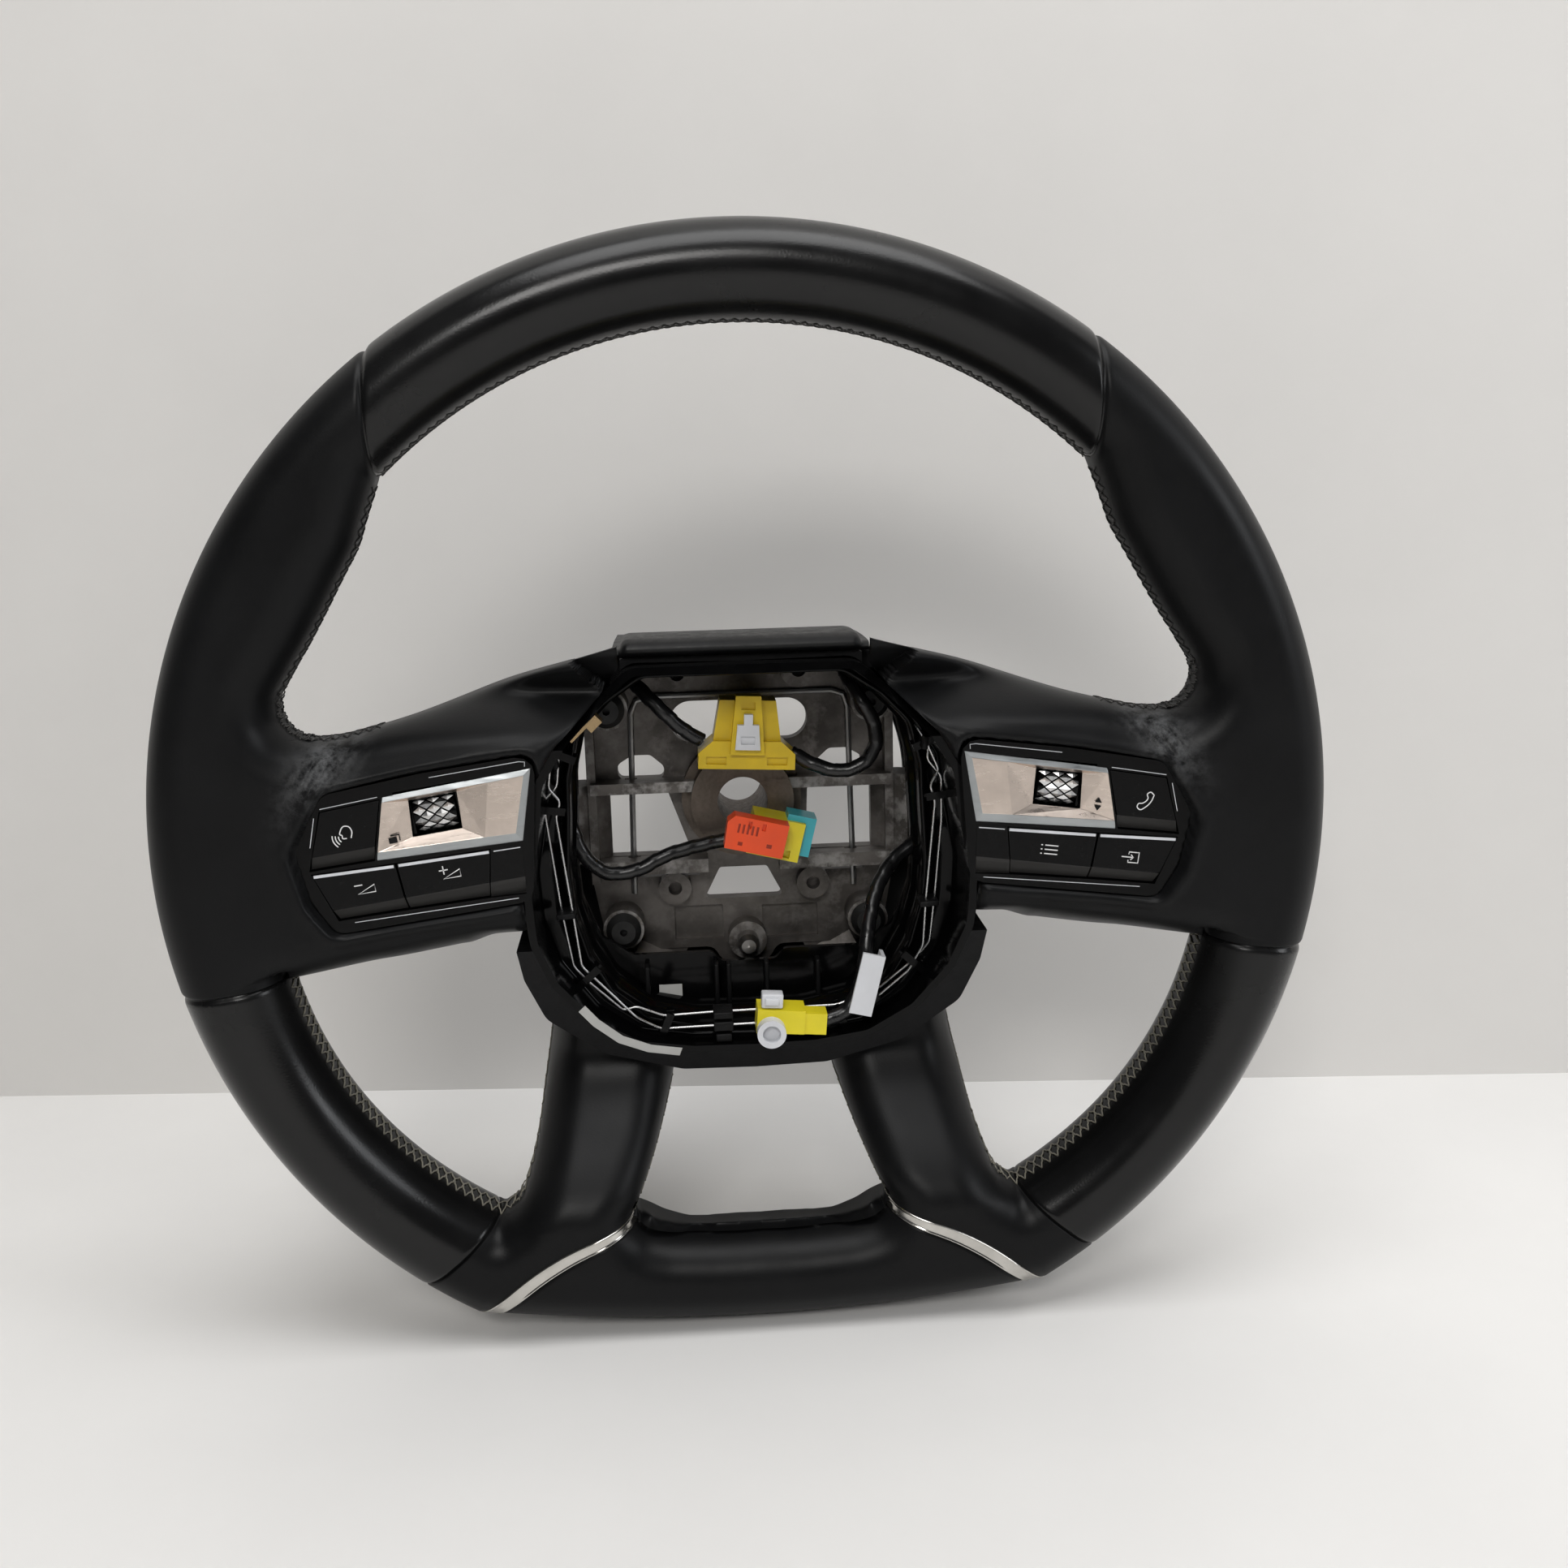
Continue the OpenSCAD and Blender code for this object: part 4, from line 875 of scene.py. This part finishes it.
light, dark = [], []
for mirror in (False, True):
    a = np.linspace(LOW_SEAM_IN - 0.4, TOE_IN, 80)
    light += stitched(on_rim(low_reach(a), a), 1, mirror, 3.2, 4.6, 0.25)
    light += stitched(LOW_SIDE[7:], -1, mirror)
    light += stitched(LOW_MIDDLE[9:25], 1, mirror)
    dark += stitched(OPENING[2:STEPS * 12], 1, mirror)
a = np.linspace(SEAM_IN + 0.3, 179.7 - SEAM_IN, 120)
dark += stitched(on_rim(INNER, a), -1, False)
make("lower_stitches", *gather(light), M["thread"], slot="smooth_leather")
make("dark_stitches", *gather(dark), M["dark_thread"], slot="smooth_leather")


# The padded roll over the top of the hub, between the ends of the side leather
section = smooth_line([
    [-23.4, 52], [-26, 52.8], [-27.3, 54.4], [-26.6, 56.4], [-24.4, 57.5], [-20, 57.9], [-11, 57.7],
    [4, 56.5], [19, 54.6], [32.8, 52.9],
], 5)
x = np.concatenate([np.linspace(0, 33, 18), np.linspace(33.5, 39.6, 16)])
x = np.unique(np.concatenate([-x, x]))
dip = np.clip((np.abs(x) - 34.4) / 2.8, 0, 1)
keep = (1 - 0.52 * (1 - np.sqrt(1 - dip**2)))[:, None]
y = mix(np.clip(section[:, 0], -22.6, 32.8)[None, :], section[None, :, 0], keep)
z = mix(np.full(len(section), 52.2)[None, :], section[None, :, 1], keep)
verts = np.stack([np.broadcast_to(x[:, None], y.shape), y, z], -1).reshape(-1, 3)
faces = sheet_faces(np.arange(len(verts)).reshape(y.shape))
make("top_panel_roll", verts, faces, M["panel"], slot="smooth_leather")

# The ledge and inner wall of the airbag frame
ROUND = np.linspace(-np.pi, np.pi, 361)


def star(outline):
    """Radius of a closed outline round the hub axis, at even angles."""
    line = even(np.vstack([outline, outline[:1]]), 0.4)
    angle = np.arctan2(line[:, 1], line[:, 0])
    order = np.argsort(angle)
    return np.interp(ROUND, angle[order], np.hypot(line[:, 0], line[:, 1])[order], period=2 * np.pi)


def ring_rows(rows):
    """Points and faces of a surface over rows of (radii round the axis, depth)."""
    verts = np.vstack([
        np.stack([r * np.cos(ROUND), np.full(len(ROUND), y), r * np.sin(ROUND)], 1)[:-1] for r, y in rows
    ])
    return verts, sheet_faces(ring_index(len(rows), len(ROUND) - 1))


SHELF_HALF = np.array([
    [0, 46.4], [31, 46.4], [42.6, 38.6], [51.2, 29.6], [54.6, 16], [55, 4], [56, -14], [55, -28], [51, -42],
    [44, -54.4], [33, -63.4], [18, -66.8], [0, -67.2],
])
wall_in = star(FRAME_RING) - 2.4
shelf = star(rounded(whole(SHELF_HALF), 7))
SHELF_Y = -26.4
make("frame_inner_wall", *ring_rows([
    (wall_in, SHELF_Y - 4), (wall_in, SHELF_Y - 0.8), (wall_in - 0.6, SHELF_Y), (shelf + 1.5, SHELF_Y),
    (shelf + 1.2, SHELF_Y - 0.9), (shelf + 0.3, SHELF_Y - 1.1), (shelf - 0.1, SHELF_Y - 0.7),
    (shelf - 0.3, SHELF_Y + 2), (shelf - 0.8, SHELF_Y + 9), (shelf - 1.6, SHELF_Y + 9.3), (shelf - 1.9, -7.4),
]), M["gloss"], slot="gloss_black")


def block(low, high, bevel=0.4, turn=0.0, centre=(0, 0)):
    """A small block with bevelled edges, turned about the depth axis."""
    low, high = np.array(low, float), np.array(high, float)
    work = bmesh.new()
    bmesh.ops.create_cube(work, size=1)
    for v in work.verts:
        v.co = Vector(tuple((low + high) / 2 + np.array(v.co) * (high - low)))
    bmesh.ops.bevel(work, geom=list(work.edges), offset=bevel, segments=2, affect="EDGES", profile=0.5)
    c, s = math.cos(math.radians(turn)), math.sin(math.radians(turn))
    verts = np.array([v.co[:] for v in work.verts])
    x, z = verts[:, 0] - centre[0], verts[:, 2] - centre[1]
    verts[:, 0], verts[:, 2] = centre[0] + c * x - s * z, centre[1] + s * x + c * z
    faces = [[v.index for v in f.verts] for f in work.faces]
    work.free()
    return verts, faces


clips = [block([x, -35, z], [x + w, SHELF_Y, z + h], 0.35, turn, (x, z)) for x, z, w, h, turn in (
    (-12.8, -62.4, 6.2, 2.2, 0), (-12.8, -66.4, 6.2, 3, 0), (-12.2, -70, 5, 2.6, 0),
    (-60.2, -27.4, 5.8, 1.8, 4), (53.4, -28.6, 6, 1.8, 4), (54.2, 22.2, 1.8, 4.2, -8),
    (-58.6, 20.2, 1.6, 3.4, 8), (38, -60.2, 3.4, 2, 40),
)]
clips += [block([x, -12, -66], [x + 1.5, -6.8, -52], 0.4) for x in (-34.4, -11.6, -7.6, 5, 22)]
clips += [block([side * 41 - 4, -18, 45.4], [side * 41 + 4, -12, 51.6], 0.5) for side in (-1, 1)]
make("wire_clips", *gather(clips), M["grain"], slot="grained_black")
boxes = [
    block([2.2, -43, -56.6], [8.9, -38.2, -52], 0.45, -4, (5, -54)),
    block([3.2, -43.9, -55.4], [7.6, -42.6, -53.2], 0.3, -4, (5, -54)),
    block([1.4, -43.4, -62.4], [10.4, -39.4, -60], 0.4, -3, (5, -61)),
]
make("small_plug_cap", *gather(boxes), M["white"], slot="white_plastic")

WIRE_OUT = [
    [-52.5, 34.5], [-58.8, 28], [-60.7, 13.9], [-57.3, 9.7], [-58.9, 5], [-55.6, -24.3], [-53.5, -43.7],
    [-43.7, -54.3], [-37.2, -61.5], [-29.6, -65.7], [-14, -65.5], [27, -65.2], [38, -60], [50, -50.2],
    [54.7, -42], [55.8, -25.8], [58.8, 5], [57.2, 10.2], [60, 15], [56, 24.3], [52.6, 29.6],
]
WIRE_IN = [
    [-51, 33.6], [-56.7, 27.9], [-58.3, 13.9], [-62.5, 9.7], [-62.6, 7.6], [-58.9, -26.9], [-56.2, -44.5],
    [-52.4, -49.2], [-41.2, -60], [-37.2, -58.8], [-28.5, -62.4], [-13.9, -61.9], [27, -61.6], [40.7, -56.6],
    [52.4, -47.4], [57.2, -41.8], [59, -26], [61.2, -1.6], [61.2, 12.4], [56.8, 17.9], [57.9, 29.2],
    [50.4, 36.2],
]


def contact_wire(name, route, y):
    """A wire bent at each point of its route, with round bends."""
    p = np.array(route, float)
    out = [p[0]]
    for a, b, c in zip(p[:-2], p[1:-1], p[2:]):
        u, v = unit(a - b), unit(c - b)
        reach = min(1.4, 0.4 * np.linalg.norm(a - b), 0.4 * np.linalg.norm(c - b))
        out += list(bezier(b + u * reach, b, b + v * reach, np.linspace(0, 1, 5)))
    line = np.array(out + [p[-1]])
    centre = np.stack([line[:, 0], np.full(len(line), y), line[:, 1]], 1)
    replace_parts(make(name + "_bent", *tube(centre, 0.42, 10), M["wire"], slot="contact_wire"), name)


contact_wire("horn_wire_front", WIRE_OUT, -31.6)
contact_wire("horn_wire_rear", WIRE_IN, -28.9)


# Switch modules, in their frame: u outwards, v up

def module_points(u, v, y, side):
    x = np.asarray(u) * math.cos(TILT) + np.asarray(v) * math.sin(TILT)
    z = -np.asarray(u) * math.sin(TILT) + np.asarray(v) * math.cos(TILT)
    return np.stack(np.broadcast_arrays(x * side, y, z), -1).astype(float)


PLATE = {
    "a": (59, 34.4, -57.2), "b": (102.3, 33.6, -57.2), "c": (107.8, 15.4, -57.2), "d": (65.4, 13.6, -57.2),
    "a1": (61.4, 32.7, -57.8), "b1": (102.7, 32.1, -57.8), "c1": (107, 17.9, -57.8),
    "d1": (66.9, 16.3, -57.8), "p": (71.8, 32.5, -57.9), "q": (75.9, 16.8, -57.9),
    "w1": (81.4, 31.1, -55.8), "w2": (95.5, 31, -55.8), "w3": (96.5, 20.2, -55.8), "w4": (82, 20.2, -55.8),
}
PLATE |= {f"v{k}": (*PLATE[f"w{k}"][:2], -54.4) for k in range(1, 5)}  # the window's inner edge
PLATE_FACES = [
    ("a1 p q d1", 0), ("p w1 w4 q", 0), ("p b1 w2 w1", 0), ("b1 c1 w3 w2", 0), ("q w4 w3 c1", 0),
    ("a b b1 p a1", 1), ("d1 q c1 c d", 1), ("b c c1 b1", 1), ("a a1 d1 d", 1),
    ("w1 w2 v2 v1", 2), ("w2 w3 v3 v2", 2), ("w3 w4 v4 v3", 2), ("w4 w1 v1 v4", 2),
]


def bevelled(obj, width, segments, least):
    """Rounds the edges that turn by more than `least` degrees."""
    bevel = obj.modifiers.new("soft_edges", "BEVEL")
    bevel.width = width * MM
    bevel.segments = segments
    bevel.limit_method = "ANGLE"
    bevel.angle_limit = math.radians(least)


def faceted_plate(name, side):
    keys = list(PLATE)
    pts = np.array([PLATE[k] for k in keys])
    verts = module_points(pts[:, 0], pts[:, 1], pts[:, 2], side)
    faces = [[keys.index(k) for k in f.split()] for f, _ in PLATE_FACES]
    if side < 0:
        faces = [f[::-1] for f in faces]
    obj = make(name, verts, faces, M["plate"], False, slot="satin_plate")
    obj.data.materials.append(M["strip"])
    obj.data.materials.append(M["gloss"])
    obj.data.polygons.foreach_set("material_index", [m for _, m in PLATE_FACES])
    bevelled(obj, 0.14, 2, 4)
    return obj


def ribbon(points, width, closed=False):
    """A flat stroke of even width along a line in a plane."""
    p = np.array(points, float)
    if closed:
        p = np.vstack([p, p[:1]])
    t = np.gradient(p, axis=0)
    if closed:
        t[0] = t[-1] = unit(p[1] - p[0]) + unit(p[-1] - p[-2])
    t = unit(t)
    n = np.stack([-t[:, 1], t[:, 0]], 1) * width / 2
    verts = np.vstack([p + n, p - n])
    return verts, sheet_faces(np.arange(2 * len(p)).reshape(2, -1))


def marks(name, body, shapes, centre, side, y, material, width=0.34):
    """Thin printed strokes and fields on a face of a module, never mirrored; also the strokes of painted
    highlight.
    """
    parts = []
    for kind, points in shapes:
        if kind == "field":
            flat, faces = np.array(points, float), [tuple(range(len(points)))]
        else:
            flat, faces = ribbon(points, width, kind == "loop")
        parts.append((module_points(centre[0] + side * flat[:, 0], centre[1] + flat[:, 1], y, side), faces))
    verts, faces = gather(parts)
    obj = make(name, verts, faces, material, False, body, "gloss_black")
    thick = obj.modifiers.new("print", "SOLIDIFY")
    thick.thickness = 0.04 * MM
    thick.offset = 0


def arc(centre, radius, start, end, steps=9):
    a = np.radians(np.linspace(start, end, steps))
    return np.stack([centre[0] + radius * np.cos(a), centre[1] + radius * np.sin(a)], 1)


RAMP = ("loop", [[-2.5, -1], [2.6, -1], [2.6, 1.2]])
GLYPHS = {
    "voice": [("line", smooth_line([
        [2.2, -1.1], [2.8, 0.9], [2.2, 2.3], [0.7, 2.6], [-0.3, 1.6], [-0.7, 0.4], [-0.2, 0.1], [-0.2, -0.8],
        [1, -1],
    ], 4))] + [("line", arc((0.4, -0.5), r, 165, 228)) for r in (1.7, 2.6, 3.5)],
    "volume_down": [RAMP, ("line", [[-3.2, 1.6], [-0.8, 1.6]])],
    "volume_up": [RAMP, ("line", [[-3.4, 1.6], [-0.8, 1.6]]), ("line", [[-2.1, 0.3], [-2.1, 2.9]])],
    "phone": [("loop", smooth_line([
        [2.3, 2], [1.1, 2.8], [0.2, 2.1], [0.6, 0.9], [-0.9, -0.8], [-2, -1], [-2.3, -2], [-1.3, -2.8],
        [0.2, -1.9], [1.7, 0], [2.3, 2],
    ], 4)[:-1])],
    "list": [("line", [[a, z], [b, z]]) for a, b in ((-1.4, 2.6), (-2.6, -2.1)) for z in (-1.3, 0, 1.3)],
    "source": [
        ("line", [[-0.6, 0.9], [-0.6, 1.6], [2.5, 1.6], [2.5, -1.6], [-0.6, -1.6], [-0.6, -0.9]]),
        ("line", [[-2.7, 0], [0.9, 0]]), ("line", [[0.1, 0.8], [0.9, 0], [0.1, -0.8]]),
    ],
}
KEY_Y, PLATE_Y = -57.64, -57.5  # depths of the signs on the keys and on the plates
KEY_MARKS = (
    ("voice", (115.6, 24.6), -1), ("volume_down", (112.6, 7.6), -1), ("volume_up", (87.6, 7.6), -1),
    ("phone", (115.4, 24.8), 1), ("list", (88.6, 7.2), 1), ("source", (113.6, 7.2), 1),
)
for name, place, side in KEY_MARKS:
    marks(f"mark_{name}", f"key_{name}", GLYPHS[name], place, side, KEY_Y, M["print"])
marks("mark_windows", "wheel", [
    ("field", [[-1.5, -1.1], [0.9, -1.1], [0.9, 0.5], [-1.5, 0.5]]),
    ("line", [[-0.8, 1.2], [1.7, 1.2], [1.7, -0.6]]),
], (101.6, 20.8), -1, PLATE_Y, M["grain"], 0.4)
marks("mark_arrows", "wheel", [
    ("field", [[-1.1, 0.5], [1.1, 0.5], [0, 2]]), ("field", [[-1.1, -0.5], [0, -2], [1.1, -0.5]]),
], (101.2, 22.4), 1, PLATE_Y, M["grain"])

# Painted highlights: thin bright metal lines along the lower keys' tops, which move with the keys, and round
# the module, standing in for the reflections on the gloss bevels
LOW_TOP = np.array([[65.8, 12.8], [75, 13], [102.7, 13.8], [127.2, 14.8]])
HIGHLIGHT_BODIES = {-1: ("wheel", "key_volume_up", "key_volume_down"), 1: ("wheel", "key_list", "key_source")}
MODULE_HIGHLIGHT_LINES = (
    [[60.6, 35.2], [60.3, 36.5], [62, 36.9], [88, 36.9]], [[103.6, 33.9], [120.4, 33.3]],
    [[122.6, 31], [125.6, 22.6]], [[70, -3.1], [118, -1.6]],
)


# Strokes of painted highlight in bright metal, in place of real bevel reflections
def painted_highlight_lines(name, body, lines, side, y, width):
    shapes = [("line", np.array(line) * [side, 1]) for line in lines]
    marks(name, body, shapes, (0, 0), side, y, M["shine"], width)


for side, word in ((-1, "left"), (1, "right")):
    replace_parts(faceted_plate(f"plate_{word}", side), f"switch_plate_{word}")
    for k, body in enumerate(HIGHLIGHT_BODIES[side]):
        a, b = LOW_TOP[k] + [0.7, -0.85], LOW_TOP[k + 1] + [-0.7, -0.85]
        painted_highlight_lines(f"painted_key_highlight_{word}_{k}", body, [[a, b]], side, KEY_Y + 0.01, 0.85 if k else 0.3)
    painted_highlight_lines(f"painted_module_highlights_{word}", "wheel", MODULE_HIGHLIGHT_LINES, side, KEY_Y + 0.2, 0.2)


ROLLER_AT = (88.8, 25.8)


def turning_roller(word, side):
    """The thumb roller: a black drum with rows of bright pyramids in a diamond pattern."""
    low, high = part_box(f"roller_{word}")
    radius = (high[1] - low[1]) / 2 / MM
    centre = (high[1] + low[1]) / 2 / MM
    base = radius - 0.55
    profile = [(-6.3, 0.5), (-6.3, base - 0.4), (-5.9, base), (5.9, base), (6.3, base - 0.4), (6.3, 0.5)]
    sides = 72
    angle = np.linspace(0, 2 * np.pi, sides + 1)[:-1]

    def place(u, r, a):
        return module_points(ROLLER_AT[0] + u, ROLLER_AT[1] + r * np.sin(a), centre - r * np.cos(a), side)

    drum = np.vstack([place(u, r, angle) for u, r in profile])
    faces = sheet_faces(ring_index(len(profile), sides))
    body = f"roller_{word}"
    obj = make(f"roller_drum_{word}", drum, faces, M["gloss"], True, body, "knurled_roller")
    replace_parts(obj, body)
    parts = []
    wide, tall = 1.82, 1.42 / radius
    corners = [(-wide, 0), (0, -tall), (wide, 0), (0, tall)]
    for j in range(20):
        middle = j * np.pi / 10
        for u in (-4.2, 0, 4.2) if j % 2 else (-2.1, 2.1):
            pts = [place(u + du, base + 0.03, middle + da) for du, da in corners] + [place(u, radius, middle)]
            parts.append((np.array(pts), [(0, 1, 4), (1, 2, 4), (2, 3, 4), (3, 0, 4)]))
    make(f"roller_pyramids_{word}", *gather(parts), M["roller"], False, body, "knurled_roller")


for side, word in ((-1, "left"), (1, "right")):
    turning_roller(word, side)


# Finishes of the frame's own solids

FINISH = {
    "cast": "armature armature_ring", "hub": "hub_insert", "dull_wire": "retaining_wire",
    "pin": "locating_pin", "rubber": "airbag_bushes", "grain": "rear_cover", "brass": "horn_terminal",
    "gloss": "airbag_frame switch_housing_left switch_housing_right roller_carrier_left roller_carrier_right",
    "key_left": "key_voice key_volume_down key_volume_up blank_left",
    "key_right": "key_phone key_list key_source blank_right",
    "amber": "main_plug", "white": "main_plug_lock small_plug_ring plug_clip", "orange": "header_plug",
    "yellow": "header_body small_plug", "cyan": "header_cover", "paper": "sticker label_strip",
}
BEVELS = {
    1.2: "rear_cover", 0.9: "armature", 0.8: "hub_insert", 0.7: "airbag_frame",
    0.5: "switch_housing_left switch_housing_right main_plug airbag_bushes",
    0.45: "header_plug header_body header_cover", 0.4: "small_plug locating_pin", 0.35: "main_plug_lock",
    0.3: "plug_clip horn_terminal", 0.25: FINISH["key_left"] + " " + FINISH["key_right"],
}
# The header plug's slots, as flat dark orange patches on its face: painted shade in place of open slots
low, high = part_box("header_plug")
x, z = [(low[k] + high[k]) / 2 / MM for k in (0, 2)]
front = low[1] / MM
slot_shades = [
    block([x + dx, front - 0.04, z + dz], [x + dx + w, front + 0.5, z + dz + h], 0.03, -14, (x, z))
    for dx, dz, w, h in [(dx, 0.4, 0.7, 3) for dx in (-6.6, -5.1, -3.6, -2.1, -0.6)]
    + [(-5.6, -3.6, 1.5, 1.2), (3.6, -2.8, 1.7, 1.3)]
]
make("header_slot_shades", *gather(slot_shades), M["painted_slot_shade"], slot="orange_plastic")

for finish, names in FINISH.items():
    for name in names.split():
        for part in nodes[name].material_slots:
            part.material = M[finish]
for width, names in BEVELS.items():
    for name in names.split():
        bevelled(nodes[name], width, 3, 38)


# Stage and light

def plain(name, colour, rough, see_through=False):
    """A matt surface; see_through lets a camera behind it see the object."""
    s = Surface(name, colour, rough)
    s.coloured(s.mixed(s.scaled(s.noise(120, 4, 0.6), 0.3, 0.7), colour, tuple(c * 0.96 for c in colour)))
    if see_through:
        either = s.add("MixShader")
        s.link(s.add("NewGeometry").outputs["Backfacing"], either.inputs[0])
        s.link(s.shader.outputs[0], either.inputs[1])
        s.link(s.add("BsdfTransparent").outputs[0], either.inputs[2])
        s.link(either.outputs[0], s.tree.nodes["Material Output"].inputs["Surface"])
    return s.material


def wide_sheet(name, corners, material):
    make(name, corners, [(0, 1, 2, 3)], material, body=None)


FLOOR, FLOOR_HALF = -156.8, 3000
WALL_Y, WALL_TURN, WALL_HALF, WALL_TOP = 131, 5.5, 2400, 2200
floor = [[FLOOR_HALF * a, FLOOR_HALF * b, FLOOR] for a, b in ((-1, -1), (1, -1), (1, 1), (-1, 1))]
wide_sheet("floor", floor, plain("floor_white", (0.78, 0.77, 0.755), 0.5))
wall = [[WALL_HALF * a, 0, z] for a, z in ((-1, FLOOR), (1, FLOOR), (1, WALL_TOP), (-1, WALL_TOP))]
wide_sheet("wall", np.array(wall) @ rotation(WALL_TURN, "Z") + [0, WALL_Y, 0],
           plain("wall_grey", (0.72, 0.705, 0.685), 0.7, True))


def lamp(name, place, aim, size, power, colour=(1, 1, 1)):
    light = bpy.data.lights.new(name, "AREA")
    light.shape = "RECTANGLE"
    light.size, light.size_y = size
    light.energy = power
    light.color = colour
    obj = bpy.data.objects.new(name, light)
    LINK(obj)
    obj.location = place
    obj.rotation_mode = "QUATERNION"
    obj.rotation_quaternion = (Vector(aim) - Vector(place)).to_track_quat("-Z", "Y")


lamp("key", (-0.25, -1.5, 1.0), (0, 0, 0), (0.7, 0.45), 12, (1, 0.985, 0.96))
lamp("ceiling", (0.1, -0.35, 1.5), (0, 0.05, 0), (1.4, 0.8), 18)
lamp("side", (1.5, -0.7, 0.6), (0.1, 0.1, 0), (0.5, 0.8), 7, (0.95, 0.97, 1))
world = bpy.data.worlds.new("room")
world.use_nodes = True
room = world.node_tree.nodes["Background"].inputs
room["Color"].default_value = (0.9, 0.92, 0.95, 1)
room["Strength"].default_value = 0.06
bpy.context.scene.world = world
